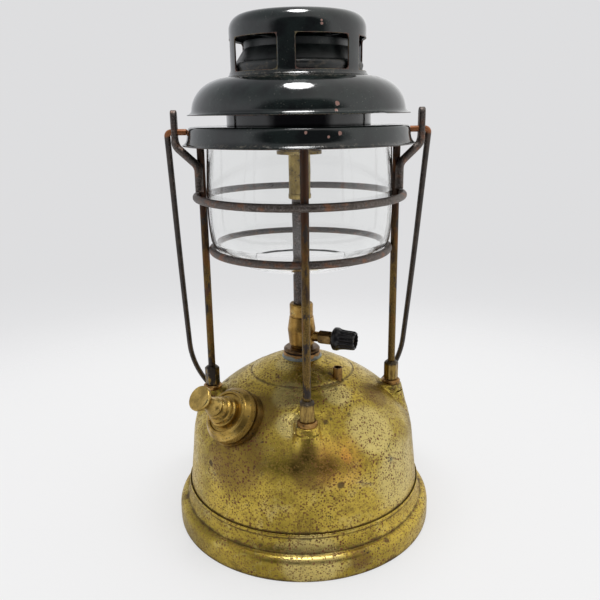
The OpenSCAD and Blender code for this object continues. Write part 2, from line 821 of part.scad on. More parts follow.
module top_plate() {
    edge = 2.2;
    neck_r = plate_r + 1.5;
    lip = arc([plate_lip_r + 0.4, lip_z + 6], plate_lip_r + 0.4 - neck_r - 0.6, 5.4, 262, 190, 6);
    rim = arc([neck_r - edge, plate_top - edge], edge, edge, 15, 90, 5);
    outer = concat([[plate_lip_r, lip_z]], lip, rim, [[hood_collar_r - hood_wall, plate_top]]);
    slot_d = bail_d + 1.4;
    slot_start = plate_r + 0.8;
    slot_reach = plate_lip_r + 2 - slot_start;
    color(enamel) difference() {
        spin(sheet(outer, hood_wall));
        for (side = [0, 180]) rotate([0, 0, side]) {
            translate([slot_start, -slot_d / 2, lip_z - 1]) cube([slot_reach, slot_d, pivot_z - lip_z + 1]);
            translate([slot_start, 0, pivot_z]) rotate([0, 90, 0]) cylinder(d = slot_d, h = slot_reach);
        }
    }
}

module burner_bridge() {
    span = hood_collar_r + 4;
    arm_w = bridge_w - 16;
    color(old_steel) translate([0, 0, plate_z - bridge_t]) difference() {
        union() {
            translate([-span, -arm_w / 2, 0]) cube([2 * span, arm_w, bridge_t]);
            cylinder(d = bridge_w, h = bridge_t);
        }
        translate([0, 0, -1]) cylinder(r = sleeve_r + fit, h = bridge_t + 2);
    }
}

module mixing_tube() {
    tube_r = mixer_d / 2;
    bore_r = tube_r - mixer_wall;
    collar_r = tube_r + 0.3;
    edge = 0.6;
    top = plate_z + chamber_h - 7;
    color(brass) spin([
        [bore_r, mixer_z0], [collar_r - 0.2, mixer_z0], [collar_r, mixer_z0 + edge],
        [collar_r, mixer_z0 + 2.8], [tube_r, mixer_z0 + 2.8 + edge], [tube_r, top], [bore_r, top]
    ]);
}

// Flange and sleeve round the mixing tube; the mixture comes down between them
module burner_head() {
    sleeve_h = chamber_z - head_z;
    bore_r = sleeve_r - sleeve_wall;
    port_count = 12;
    port_d = 2;
    color(polished_brass) translate([0, 0, head_z]) difference() {
        union() {
            cylinder(d = head_d, h = head_t);
            cylinder(r = sleeve_r, h = sleeve_h);
        }
        translate([0, 0, -1]) cylinder(d = mixer_d + 2 * fit, h = head_t + 2);
        translate([0, 0, head_t]) cylinder(r = bore_r, h = sleeve_h);
        for (i = [0:port_count - 1]) rotate([0, 0, 360 * i / port_count])
            translate([(mixer_d / 2 + bore_r) / 2, 0, -1]) cylinder(d = port_d, h = head_t + 2);
    }
}

module mixing_chamber() {
    edge = 6;
    wall = 1;
    top = chamber_z + chamber_h;
    outer = concat(
        [[sleeve_r - 2 * wall, chamber_z], [chamber_r, chamber_z]],
        arc([chamber_r - edge, top - edge], edge, edge, 0, 90, 6),
        [[0, top]]
    );
    color(old_steel) difference() {
        spin(sheet(outer, wall));
        translate([0, 0, chamber_z - 1]) cylinder(r = sleeve_r - sleeve_wall, h = wall + 2);
    }
}

module hood_collar() {
    under = crown_z - hood_wall;
    color(enamel) translate([0, 0, plate_top])
        tube(hood_collar_r, hood_collar_r - hood_wall, under - plate_top - 0.15);
}

module hood_dome() {
    shoulder = arc([crown_r, dome_side_z], hood_r - crown_r, hood_shoulder_h, hood_start, 90, 12);
    start = shoulder[0];
    flare = arc([start[0] + brim_flare_r, start[1]], brim_flare_r, brim_flare_r, 180 + brim_sweep, 183, 6);
    outer = concat(flare, shoulder, [[flue_r + 4, crown_z]]);
    color(enamel) spin(sheet(outer, hood_wall));
}

// Open chimney inside the cap; the bead at its foot stands on the crown
module hood_flue() {
    foot_r = cap_r - hood_wall - 1;
    bead_z = crown_z + 6;
    cone_z = crown_z + 0.8 * flue_h;
    bead = arc([foot_r - 2.6, bead_z], 2.8, 2.6, -30, 70, 5);
    outer = concat([[foot_r - 0.6, crown_z]], bead, [[flue_r, cone_z], [flue_r, crown_z + flue_h]]);
    color(enamel) spin(sheet(outer, hood_wall));
}

module hood_cap() {
    foot_r = crown_r - 0.4;
    edge_z = cap_top - cap_edge_r * cos(cap_slope) - crown_sag;
    foot = arc([foot_r + 1.5, crown_z + 4.4], foot_r + 1.5 - cap_r, 4.4, 242, 180, 5);
    edge = arc([cap_r - cap_edge_r, edge_z], cap_edge_r, cap_edge_r, 0, 90 - cap_slope);
    crown = arc([0, cap_top - crown_sphere], crown_sphere, crown_sphere, 90 - cap_slope, 90, 6);
    outer = concat([[foot_r, crown_z]], foot, edge, [for (i = [1:6]) crown[i]]);
    color(enamel) difference() {
        spin(sheet(outer, hood_wall));
        for (i = [0:window_count - 1])
            rotate([0, 0, window_turn + 360 * i / window_count]) window();
    }
}

// One rounded window, cut straight out towards the front
module window() {
    corner = 2;
    cut = 22;
    half = window_w / 2 - corner;
    translate([0, -cap_r - cut / 2, crown_z + window_sill]) {
        translate([-half, 0, 0]) cube([2 * half, cut, window_h]);
        translate([-window_w / 2, 0, corner]) cube([window_w, cut, window_h - 2 * corner]);
        for (x = [-half, half]) for (z = [corner, window_h - corner])
            translate([x, 0, z]) rotate([-90, 0, 0]) cylinder(r = corner, h = cut);
    }
}

// ---- Filler and pump, along the filler's axis ----

module filler_neck() {
    color(polished_brass) {
        difference() {
            on_filler_axis() translate([0, 0, -filler_root])
                cylinder(d = neck_flange_d, h = filler_root + flange_t);
            tank_form();
            on_filler_axis() translate([0, 0, -neck_d / 2]) cylinder(d = neck_d - 4 * lap, h = neck_d);
        }
        on_filler_axis() translate([0, 0, -filler_root])
            tube(neck_d / 2, neck_d / 2 - neck_wall, neck_h + filler_root);
    }
}

module filler_washer() {
    washer_t = 1;
    color(rubber) on_filler_axis() translate([0, 0, neck_h + 0.1])
        tube(neck_d / 2 - 0.4, barrel_d / 2 + 0.6, washer_t);
}

module filler_cap() {
    r = filler_cap_d / 2;
    edge = 0.5;
    knurl_top = knurl_z + knurl_h;
    rim_r = r - 3.5;
    rim_w = 2;
    top = cap_web_top + 1;
    bore_r = neck_d / 2 + running;
    barrel_hole_r = barrel_d / 2 + fit;
    color(polished_brass) on_filler_axis() spin([
        [bore_r, knurl_z], [r - edge, knurl_z], [r, knurl_z + edge], [r, knurl_top - edge],
        [r - edge, knurl_top], [rim_r + 0.9, top - 1.2], [rim_r, top - 0.9], [rim_r - 0.4, top],
        [rim_r + 0.4 - rim_w, top], [rim_r - rim_w, cap_web_top], [barrel_hole_r, cap_web_top],
        [barrel_hole_r, cap_web_z], [bore_r, cap_web_z]
    ]);
}

module pump_barrel() {
    color(brass) on_filler_axis() translate([0, 0, -barrel_len])
        tube(barrel_d / 2, barrel_bore_r, cap_web_top + barrel_len);
}

module pump_lid() {
    seat_r = 9.75;
    middle_r = seat_r - 1.2;
    upper_r = seat_r - 3;
    color(polished_brass) on_filler_axis() difference() {
        union() {
            translate([0, 0, cap_web_top - lid_skirt_h]) cylinder(r = barrel_bore_r - fit, h = lid_skirt_h);
            translate([0, 0, cap_web_top]) spin([
                [0, 0], [seat_r, 0], [seat_r, lid_h * 0.28], [middle_r + 0.3, lid_h * 0.36],
                [middle_r + 0.1, lid_h * 0.36], [middle_r, lid_h * 0.6], [upper_r + 0.6, lid_h * 0.7],
                [upper_r + 0.2, lid_h * 0.7], [upper_r, lid_h * 0.9], [upper_r - 0.6, lid_h], [0, lid_h]
            ]);
        }
        cylinder(d = rod_d + 2 * running, h = lid_top + 1);
    }
}

module non_return_valve() {
    plug_t = 3;
    tail_h = 5;
    tail_r = barrel_d / 4;
    inlet_r = 1;
    whole = plug_t + tail_h;
    color(brass) on_filler_axis() translate([0, 0, -barrel_len - whole]) difference() {
        union() {
            translate([0, 0, tail_h]) cylinder(d = barrel_d, h = plug_t);
            cylinder(r = tail_r, h = whole - 1);
        }
        translate([0, 0, -1]) cylinder(r = inlet_r, h = whole + 2);
    }
}

module pump_cup() {
    cup_r = barrel_bore_r - running;
    skirt_r = cup_r - 1.3;
    bore_r = rod_tip_d / 2 + running;
    color(hide) on_filler_axis() translate([0, 0, piston_z]) spin([
        [bore_r, cup_h - cup_t], [skirt_r, cup_h - cup_t], [skirt_r, 0], [cup_r, 0],
        [cup_r, cup_h - 1], [cup_r - 1, cup_h], [bore_r, cup_h]
    ]);
}

module piston_plate() {
    color(brass) on_filler_axis() translate([0, 0, piston_z + cup_h])
        tube(barrel_bore_r - 1.4, rod_tip_d / 2 + running, plate_t);
}

module pump_rod() {
    shoulder = piston_z + cup_h + plate_t + clear;
    tip = piston_z - 2;
    color(polished_brass) on_filler_axis() {
        translate([0, 0, tip]) cylinder(d = rod_tip_d, h = shoulder - tip);
        translate([0, 0, shoulder]) cylinder(d = rod_d, h = lid_top + clear + rod_grip - shoulder);
    }
}

module piston_nut() {
    nut_t = 2;
    corner_r = 3.4;
    nut_z0 = piston_z + cup_h - cup_t - clear - nut_t;
    color(brass) on_filler_axis() translate([0, 0, nut_z0]) difference() {
        cylinder(r = corner_r, h = nut_t, $fn = 6);
        translate([0, 0, -1]) cylinder(d = rod_tip_d + 2 * fit, h = nut_t + 2);
    }
}

module pump_knob() {
    disc_r = pump_knob_d / 2;
    disc_t = 2;
    edge = 0.5;
    waist_r = 4.1;
    waist = 0.48 * pump_knob_h;
    foot_r = rod_d / 2 + 3.6;
    foot_x = foot_r + 1.6;
    rim_x = disc_r + 0.6;
    trumpet = arc([rim_x, waist], rim_x - waist_r, 0.36 * pump_knob_h, 180, 105, 6);
    foot = arc([foot_x, waist], foot_x - waist_r, 0.4 * pump_knob_h, 235, 180, 4);
    color(polished_brass) on_filler_axis() translate([0, 0, lid_top + clear]) difference() {
        spin(concat(
            [[0, 0], [foot_r, 0], [foot_r, 0.8]], foot, trumpet,
            [[disc_r, pump_knob_h - disc_t], [disc_r, pump_knob_h - edge]],
            [[disc_r - edge, pump_knob_h], [0, pump_knob_h]]
        ));
        translate([0, 0, -1]) cylinder(d = rod_d + 2 * fit, h = rod_grip + 1 + fit);
    }
}

base_ring();
tank_bottom();
tank_shell();
tank_collar();
post_bosses();
post_collars();
post_nuts();
posts();
low_ring();
mid_ring();
left_ear();
right_ear();
accessory_socket();
filler_neck();
fuel_pickup();
pickup_filter();
seal_washer();
flange_nut();
control_body();
gland_nut();
gland_packing();
vaporiser_tube();
vaporiser_jet();
bail_handle();
glass_globe();
top_plate();
burner_bridge();
mixing_tube();
burner_head();
mixing_chamber();
hood_collar();
hood_dome();
hood_flue();
hood_cap();
valve_spindle();
control_knob();
knob_screw();
pricker_needle();
filler_washer();
filler_cap();
pump_barrel();
pump_lid();
non_return_valve();
pump_cup();
piston_plate();
pump_rod();
piston_nut();
pump_knob();
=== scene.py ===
"""Looks of the kerosene pressure lantern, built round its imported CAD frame. Metres, +Z up, -Y the front."""

import json
from math import atan2, ceil, cos, hypot, pi, radians, sin, sqrt

import bmesh
import bpy
import numpy as np
from mathutils import Matrix, Vector


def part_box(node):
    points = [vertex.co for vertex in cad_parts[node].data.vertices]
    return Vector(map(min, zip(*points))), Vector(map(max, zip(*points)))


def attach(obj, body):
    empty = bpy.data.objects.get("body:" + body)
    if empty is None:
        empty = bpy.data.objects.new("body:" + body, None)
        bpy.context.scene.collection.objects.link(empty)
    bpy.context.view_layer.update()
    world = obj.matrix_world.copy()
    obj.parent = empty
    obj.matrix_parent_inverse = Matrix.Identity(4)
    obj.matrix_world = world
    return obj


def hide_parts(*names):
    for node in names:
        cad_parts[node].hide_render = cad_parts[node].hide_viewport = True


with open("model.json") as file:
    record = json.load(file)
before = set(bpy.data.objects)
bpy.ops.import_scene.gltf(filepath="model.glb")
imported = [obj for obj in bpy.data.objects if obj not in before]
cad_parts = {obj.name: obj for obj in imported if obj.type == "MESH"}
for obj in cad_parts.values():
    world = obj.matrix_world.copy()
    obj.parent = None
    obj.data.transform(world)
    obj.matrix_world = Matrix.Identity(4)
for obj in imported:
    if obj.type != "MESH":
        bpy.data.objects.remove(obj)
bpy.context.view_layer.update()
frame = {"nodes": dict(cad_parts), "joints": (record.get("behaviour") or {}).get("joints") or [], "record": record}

MM = 0.001
UP = Vector((0, 0, 1))
BODY_OF = {n: body for body, nodes in frame["record"]["behaviour"]["bodies"].items() for n in nodes}
JOINT = {joint["name"]: joint for joint in frame["joints"]}


def link(thing):
    bpy.context.scene.collection.objects.link(thing)


# ---- Camera, stage and light ----

FOCAL_PX = 656.9
PICTURE_PX = 600
SENSOR_WIDTH = 36
CAMERA_AZIMUTH = radians(-2.3)
CAMERA_PITCH = radians(15.88)
CAMERA_ROLL = radians(-0.83)
CAMERA_DISTANCE = 0.4166
CAMERA_HEIGHT = 0.2687
CAMERA_SIDE = -0.0008
NEAREST_SEEN, FARTHEST_SEEN = 0.01, 20

FLOOR_RADIUS = 0.62
FLOOR_CORNERS = 96
FLOOR_FADES = (0.26, 0.6)
FLOOR_WHITENED = 0.62
FLOOR_PAINT, FLOOR_GLOW = (0.80, 0.80, 0.805), (0.93, 0.93, 0.93)

SIDES_OF_TENT = ((0.78, 0.79, 0.82), (1.0, 1.0, 1.0))
ROOF_OF_TENT = ((0.34, 0.34, 0.36), (0.80, 0.79, 0.78))
DARK_OPENING = (0.055, 0.05, 0.06)
BACKDROP = ((0.87, 0.87, 0.88), (0.73, 0.73, 0.74))

LAMP_PLACE, LAMP_AIM = Vector((0.0, -0.05, 1.25)), Vector((0, 0, 0.15))
LAMP_SIZE = (0.30, 0.42)
LAMP_WATTS = 7.5


def make_camera():
    data = bpy.data.cameras.new("camera")
    data.sensor_width = SENSOR_WIDTH
    data.lens = FOCAL_PX / PICTURE_PX * data.sensor_width
    data.clip_start = NEAREST_SEEN
    data.clip_end = FARTHEST_SEEN
    camera = bpy.data.objects.new("camera", data)
    turn = Matrix.Rotation(CAMERA_AZIMUTH, 4, "Z")
    place = Matrix.Translation((CAMERA_SIDE, -CAMERA_DISTANCE, CAMERA_HEIGHT))
    pitch = Matrix.Rotation(pi / 2 - CAMERA_PITCH, 4, "X")
    camera.matrix_world = turn @ place @ pitch @ Matrix.Rotation(CAMERA_ROLL, 4, "Z")
    link(camera)
    bpy.context.scene.camera = camera


# ---- Material nodes ----

class Paint:
    """A material built by short calls. Places are the piece's own, in metres; noise, spots and bumps take
    millimetres."""

    def __init__(self, name, tree=None):
        if tree is None:
            self.material = bpy.data.materials.new(name)
            self.material.use_nodes = True
            tree = self.material.node_tree
        self.tree = tree
        tree.nodes.clear()
        self.position = None

    def node(self, kind, settings=None, **inputs):
        made = self.tree.nodes.new("ShaderNode" + kind)
        for key, value in (settings or {}).items():
            setattr(made, key, value)
        for key, value in inputs.items():
            self.put(made.inputs[key.replace("_", " ")], value)
        return made

    def put(self, socket, value):
        if isinstance(value, bpy.types.NodeSocket):
            self.tree.links.new(value, socket)
        elif value is not None:
            if socket.type == "RGBA" and len(value) == 3:
                value = (*value, 1)
            socket.default_value = value

    def where(self):
        if self.position is None:
            self.position = self.node("TexCoord").outputs["Object"]
        return self.position

    def axes(self):
        split = self.node("SeparateXYZ", Vector=self.where())
        return split.outputs["X"], split.outputs["Y"], split.outputs["Z"]

    def noise(self, size, detail=4, rough=0.55, squeeze=(1, 1, 1), twist=0.0):
        """Soft noise about 0.5 whose lumps are this size; a lower squeeze draws them out along an axis."""
        scaled = self.node("Mapping", Vector=self.where(), Scale=tuple(s / (size * MM) for s in squeeze))
        made = self.node("TexNoise", Vector=scaled.outputs[0], Scale=1.0, Detail=detail,
                         Roughness=rough, Distortion=twist)
        return made.outputs["Fac"]

    def spots(self, spacing, radius, seed=0.0):
        """1 in the middle of scattered round spots and 0 outside them; their radii vary."""
        spacing, radius = spacing * MM, radius * MM
        shifted = self.node("Mapping", Vector=self.where(), Location=(seed, seed * 0.7, seed * 1.3),
                            Scale=(1 / spacing,) * 3)
        cells = self.node("TexVoronoi", Vector=shifted.outputs[0], Scale=1.0)
        own = self.node("SeparateColor", Color=cells.outputs["Color"]).outputs[0]
        edge = self.times(own, radius / spacing)
        return self.level(self.math("DIVIDE", cells.outputs["Distance"], self.plus(edge, 1e-4)), 1.0, 0.6)

    def math(self, operation, *values):
        made = self.node("Math", {"operation": operation})
        for socket, value in zip(made.inputs, values):
            self.put(socket, value)
        return made.outputs[0]

    def plus(self, a, b):
        return self.math("ADD", a, b)

    def minus(self, a, b):
        return self.math("SUBTRACT", a, b)

    def times(self, a, b):
        return self.math("MULTIPLY", a, b)

    def size(self, a, b=None):
        """The length of a or, with b, of the two at right angles."""
        if b is None:
            return self.math("ABSOLUTE", a)
        return self.math("SQRT", self.plus(self.times(a, a), self.times(b, b)))

    def uneven(self, noise, reach):
        """A noise moved to lie about 0, and as strong as the reach."""
        return self.times(self.minus(noise, 0.5), reach)

    def level(self, value, low, high):
        """0 at low, 1 at high, smooth between."""
        made = self.node("MapRange", {"interpolation_type": "SMOOTHSTEP"}, Value=value,
                         From_Min=low, From_Max=high)
        return made.outputs["Result"]

    def both(self, *masks):
        total = masks[0]
        for mask in masks[1:]:
            total = self.times(total, mask)
        return total

    def either(self, *masks):
        total = masks[0]
        for mask in masks[1:]:
            total = self.math("MAXIMUM", total, mask)
        return total

    def mix(self, factor, a, b, kind="RGBA", first=6, made_at=2):
        made = self.node("Mix", {"data_type": kind})
        for socket, value in zip((0, first, first + 1), (factor, a, b)):
            self.put(made.inputs[socket], value)
        return made.outputs[made_at]

    def over(self, color, mask, strength, tint):
        """A colour covered by a tint where the mask is 1, as much as the strength says."""
        return self.mix(self.times(mask, strength), color, tint)

    def blend(self, factor, a, b):
        return self.mix(factor, a, b, "FLOAT", 2, 0)

    def near(self, point, reach):
        """1 at a point of the piece, falling to 0 at this distance from it."""
        away = self.node("VectorMath", {"operation": "DISTANCE"}, Vector=self.where())
        self.put(away.inputs[1], point)
        return self.level(away.outputs["Value"], reach, reach * 0.35)

    def patch(self, point, reach, noise, raggedness):
        """Like near(), with an edge made ragged by a noise; it lies partly outside 0 to 1."""
        return self.plus(self.near(point, reach), self.uneven(noise, raggedness))

    def past_height(self, height):
        """How far a point lies over a height."""
        return self.minus(self.axes()[2], height)

    def past_windows(self, count, turn, width, low, high, radius):
        """How far a point of an upright round wall lies outside the nearest of its windows."""
        x, y, z = self.axes()
        angle = self.math("ARCTAN2", x, self.times(y, -1.0))
        half = pi / count
        part = self.math("WRAP", self.minus(angle, turn), half, -half)
        aside = self.size(self.times(self.math("SINE", part), radius))
        aloft = self.size(self.minus(z, (low + high) / 2))
        return self.math("MAXIMUM", self.minus(aside, width / 2), self.minus(aloft, (high - low) / 2))

    def bump(self, height, depth, under=None):
        made = self.node("Bump", Height=height, Distance=depth * MM, Strength=1.0, Normal=under)
        return made.outputs[0]

    def finish(self, color, rough, normal, metal=0.0, **inputs):
        shader = self.node("BsdfPrincipled", Base_Color=color, Roughness=rough, Normal=normal,
                           Metallic=metal, **inputs)
        self.node("OutputMaterial", Surface=shader.outputs[0])
        return self.material


def seen_directly(paint):
    path = paint.node("LightPath").outputs
    return paint.either(path["Is Camera Ray"], path["Is Transmission Ray"])


def mixed_shader(paint, factor, a, b):
    made = paint.node("MixShader", Fac=factor)
    paint.tree.links.new(a.outputs[0], made.inputs[1])
    paint.tree.links.new(b.outputs[0], made.inputs[2])
    return made


def make_stage():
    """A pale floor that fades into the backdrop, which is the world's colour."""
    paint = Paint("floor")
    x, y, _ = paint.axes()
    diffuse = paint.node("BsdfDiffuse", Color=FLOOR_PAINT)
    glow = paint.node("Emission", Color=FLOOR_GLOW, Strength=1.0)
    clear = paint.node("BsdfTransparent")
    lit = mixed_shader(paint, paint.times(seen_directly(paint), FLOOR_WHITENED), diffuse, glow)
    faded = mixed_shader(paint, paint.level(paint.size(x, y), *FLOOR_FADES), lit, clear)
    paint.node("OutputMaterial", Surface=faded.outputs[0])
    around = np.linspace(0, 2 * pi, FLOOR_CORNERS + 1)[:-1]
    rim = [(FLOOR_RADIUS * cos(a), FLOOR_RADIUS * sin(a), 0) for a in around]
    mesh = bpy.data.meshes.new("floor")
    mesh.from_pydata(rim, [], [range(FLOOR_CORNERS)])
    floor = bpy.data.objects.new("floor", mesh)
    floor.data.materials.append(paint.material)
    link(floor)


def make_world():
    """A pale tent, open and dark towards the front; the camera sees only its pale backdrop."""
    world = bpy.data.worlds.new("world")
    world.use_nodes = True
    bpy.context.scene.world = world
    paint = Paint("world", world.node_tree)
    paint.position = paint.node("TexCoord").outputs["Generated"]
    x, y, z = paint.axes()
    opening = paint.both(paint.level(y, -0.55, -0.8), paint.level(z, -0.3, -0.1), paint.level(z, 0.75, 0.6))
    right = paint.level(x, -0.35, 0.35)
    tent = paint.mix(paint.level(z, 0.2, 0.9), paint.mix(right, *SIDES_OF_TENT), paint.mix(right, *ROOF_OF_TENT))
    tent = paint.mix(opening, tent, DARK_OPENING)
    backdrop = paint.mix(paint.level(z, -0.42, -0.2), *BACKDROP)
    shown = paint.mix(seen_directly(paint), tent, backdrop)
    shown = paint.node("Background", Color=shown, Strength=1.0)
    paint.node("OutputWorld", Surface=shown.outputs[0])


def make_lamp():
    data = bpy.data.lights.new("overhead_lamp", "AREA")
    data.shape = "ELLIPSE"
    data.size, data.size_y = LAMP_SIZE
    data.energy = LAMP_WATTS
    lamp = bpy.data.objects.new("overhead_lamp", data)
    lamp.location = LAMP_PLACE
    lamp.rotation_euler = (LAMP_AIM - LAMP_PLACE).to_track_quat("-Z", "Y").to_euler()
    link(lamp)


# ---- Mesh helpers ----

SAME_RING = 4e-6
SAME_POINT = 1e-6
SHARP_CORNER = radians(24)


def ripple(points, size, seed, waves=9):
    """Smooth unevenness, about -1 to 1, whose lumps are this size."""
    rng = np.random.default_rng(seed)
    total = np.zeros(len(points))
    for _ in range(waves):
        direction = rng.normal(size=3)
        direction *= 2 * pi / size * rng.uniform(0.5, 1.3) / np.linalg.norm(direction)
        total += np.sin(points @ direction + rng.uniform(0, 2 * pi))
    return total / waves * 2


def add_piece(name, points, faces):
    """A smooth closed piece: its double points are merged and its faces turned outwards."""
    mesh = bpy.data.meshes.new(name)
    mesh.from_pydata([tuple(p) for p in points], [], faces)
    mesh.validate()
    mesh.update()
    mesh.polygons.foreach_set("use_smooth", [True] * len(mesh.polygons))
    piece = bpy.data.objects.new(name, mesh)
    link(piece)
    work = bmesh.new()
    work.from_mesh(mesh)
    bmesh.ops.remove_doubles(work, verts=work.verts, dist=SAME_POINT)
    bmesh.ops.recalc_face_normals(work, faces=work.faces)
    work.to_mesh(mesh)
    work.free()
    return piece


def place_on(point, axis, seam):
    """The frame whose +Z is the axis and whose +X is the seam, through a point."""
    z = Vector(axis).normalized()
    x = (Vector(seam) - z * z.dot(Vector(seam))).normalized()
    place = Matrix((x, z.cross(x), z)).transposed().to_4x4()
    place.translation = Vector(point)
    return place


UPRIGHT = Matrix.Identity(4)
BAIL_PIVOT = Vector(JOINT["bail_swing"]["pos_m"])
VALVE_AXIS = place_on(JOINT["control_turn"]["pos_m"], JOINT["control_turn"]["axis"], -UP)
FILLER_DIRECTION = Vector(JOINT["filler_unscrew"]["axis"])
FILLER_AXIS = place_on(JOINT["filler_unscrew"]["pos_m"], FILLER_DIRECTION, UP.cross(FILLER_DIRECTION))


def outline_of(node, place=UPRIGHT, fewest=12):
    """A turned CAD piece's outline as (radius, height), from its rings that have the fewest points or more.

    Also returns whether it closes into a loop; if not, it runs from axis to axis."""
    mesh = frame["nodes"][node].data
    back = place.inverted()
    rings = np.zeros((0, 2))
    ring_of = []
    for vertex in mesh.vertices:
        p = back @ vertex.co
        spot = np.array((hypot(p.x, p.y), p.z))
        same = np.flatnonzero(np.abs(rings - spot).max(1) < SAME_RING) if len(rings) else ()
        if len(same) == 0:
            rings = np.vstack([rings, spot])
            same = [len(rings) - 1]
        ring_of.append(int(same[0]))
    full = np.bincount(ring_of, minlength=len(rings)) >= fewest
    links = {i: set() for i in range(len(rings)) if full[i]}
    for edge in mesh.edges:
        a, b = (ring_of[i] for i in edge.vertices)
        if a != b and full[a] and full[b]:
            links[a].add(b)
            links[b].add(a)
    loose = [i for i, joined in links.items() if len(joined) == 1]
    walk = [loose[0] if loose else min(links, key=lambda i: rings[i][1])]
    way = np.zeros(2)
    while True:
        ahead = {i: rings[i] - rings[walk[-1]] for i in links[walk[-1]] if i not in walk}
        if not ahead:
            break
        walk.append(max(ahead, key=lambda i: way @ ahead[i] / np.linalg.norm(ahead[i])))
        way = ahead[walk[-1]] / np.linalg.norm(ahead[walk[-1]])
    points = [rings[i] for i in walk]
    if loose:
        points = [np.array((0.0, points[0][1])), *points, np.array((0.0, points[-1][1]))]
    return points, not loose


def refined(points, closed, fillet=0.25, step=1.2):
    """An outline with its corners rounded and its curves made smooth; fillet and step are in millimetres."""
    fillet, step = fillet * MM, step * MM
    count = len(points)
    spans = count if closed else count - 1
    ahead = [points[(i + 1) % count] - points[i] for i in range(spans)]
    length = [np.linalg.norm(a) for a in ahead]
    way = [a / max(l, 1e-9) for a, l in zip(ahead, length)]

    def sharp(i):
        if not closed and i in (0, count - 1):
            return True
        cross = way[i - 1][0] * way[i][1] - way[i - 1][1] * way[i][0]
        return abs(atan2(cross, float(way[i - 1] @ way[i]))) > SHARP_CORNER

    is_sharp = [sharp(i) for i in range(count)]
    made = []
    for i in range(spans):
        j = (i + 1) % count
        cut = [0.0, 0.0]
        for end, k in enumerate((i, j)):
            inner = closed or k not in (0, count - 1)
            if is_sharp[k] and inner:
                cut[end] = min(fillet, 0.35 * length[k - 1], 0.35 * length[k % spans])
        start = points[i] + way[i] * cut[0]
        end = points[j] - way[i] * cut[1]
        if cut[0] > 0:
            before = points[i] - way[i - 1] * cut[0]
            for t in (0.0, 0.33, 0.67):
                made.append((1 - t) ** 2 * before + 2 * t * (1 - t) * points[i] + t * t * start)
        tangents = []
        for k in (i, j):
            if is_sharp[k]:
                tangents.append(way[i])
            else:
                both = way[k - 1] + way[k % spans]
                tangents.append(both / np.linalg.norm(both))
        reach = np.linalg.norm(end - start)
        parts = max(1, ceil(reach / step))
        for part in range(parts):
            t = part / parts
            h = (2 * t**3 - 3 * t**2 + 1, t**3 - 2 * t**2 + t, -2 * t**3 + 3 * t**2, t**3 - t**2)
            made.append(h[0] * start + h[1] * reach * tangents[0] + h[2] * end + h[3] * reach * tangents[1])
    if not closed:
        made.append(points[-1])
    return np.array(made)


def turned(name, outline, closed, place=UPRIGHT, turns=240, shape=None):
    """A turned piece. shape(radius, height, angle) returns the radius and height of each point, as arrays."""
    rows = np.array(outline, float)
    count = len(rows)
    angles = np.repeat(np.linspace(0, 2 * pi, turns + 1)[:-1, None], count, 1)
    radius, height = (np.repeat(rows[:, column][None, :], turns, 0) for column in (0, 1))
    if shape:
        moved_r, moved_z = shape(radius, height, angles)
        on_axis = radius < 1e-7
        radius, height = np.where(on_axis, 0, moved_r), np.where(on_axis, height, moved_z)
    points = np.stack([radius * np.cos(angles), radius * np.sin(angles), height], -1).reshape(-1, 3)
    points = points @ np.array(place.to_3x3()).T + np.array(place.translation)
    faces = []
    for a in range(turns):
        b = (a + 1) % turns
        for i in range(count if closed else count - 1):
            j = (i + 1) % count
            faces.append((a * count + i, b * count + i, b * count + j, a * count + j))
    return add_piece(name, points, faces)


def line(start, end, step):
    """Points along a straight line, the first one left out."""
    start, end = np.array(start, float), np.array(end, float)
    parts = max(1, round(np.linalg.norm(end - start) / step))
    return [start + (end - start) * (i + 1) / parts for i in range(parts)]


def bend(centre, start, axis, angle, parts=10):
    """Points along an arc about a centre, the first one left out."""
    arm = Vector(start) - Vector(centre)
    return [np.array(Vector(centre) + Matrix.Rotation(angle * (i + 1) / parts, 3, Vector(axis)) @ arm)
            for i in range(parts)]


def rod(name, path, half_width, half_depth=None, around=24, side=None, square=2.0):
    """A rod along a path. Its widths and squareness may change along it; side is the width's direction."""
    path = np.array(path, float)
    count = len(path)
    ahead = np.gradient(path, axis=0)
    ahead /= np.linalg.norm(ahead, axis=1)[:, None]
    across = np.zeros_like(path)
    last = np.array((0.0, 0.0, 1.0))
    for i in range(count):
        last = last if side is None else side[i]
        last = last - ahead[i] * (last @ ahead[i])
        last /= np.linalg.norm(last)
        across[i] = last
    other = np.cross(ahead, across)
    wide, deep, power = (np.broadcast_to(np.array(value, float), (count,)) for value in
                         (half_width, half_width if half_depth is None else half_depth, square))
    angle = np.linspace(0, 2 * pi, around + 1)[:-1]
    wave, rise = np.cos(angle), np.sin(angle)
    points = []
    for i in range(count):
        u = np.sign(wave) * np.abs(wave) ** (2 / power[i]) * wide[i]
        v = np.sign(rise) * np.abs(rise) ** (2 / power[i]) * deep[i]
        points.extend(path[i] + u[:, None] * across[i] + v[:, None] * other[i])
    faces = []
    for i in range(count - 1):
        for s in range(around):
            t = (s + 1) % around
            faces.append((i * around + s, i * around + t, (i + 1) * around + t, (i + 1) * around + s))
    faces.append(tuple(reversed(range(around))))
    faces.append(tuple((count - 1) * around + s for s in range(around)))
    return add_piece(name, points, faces)


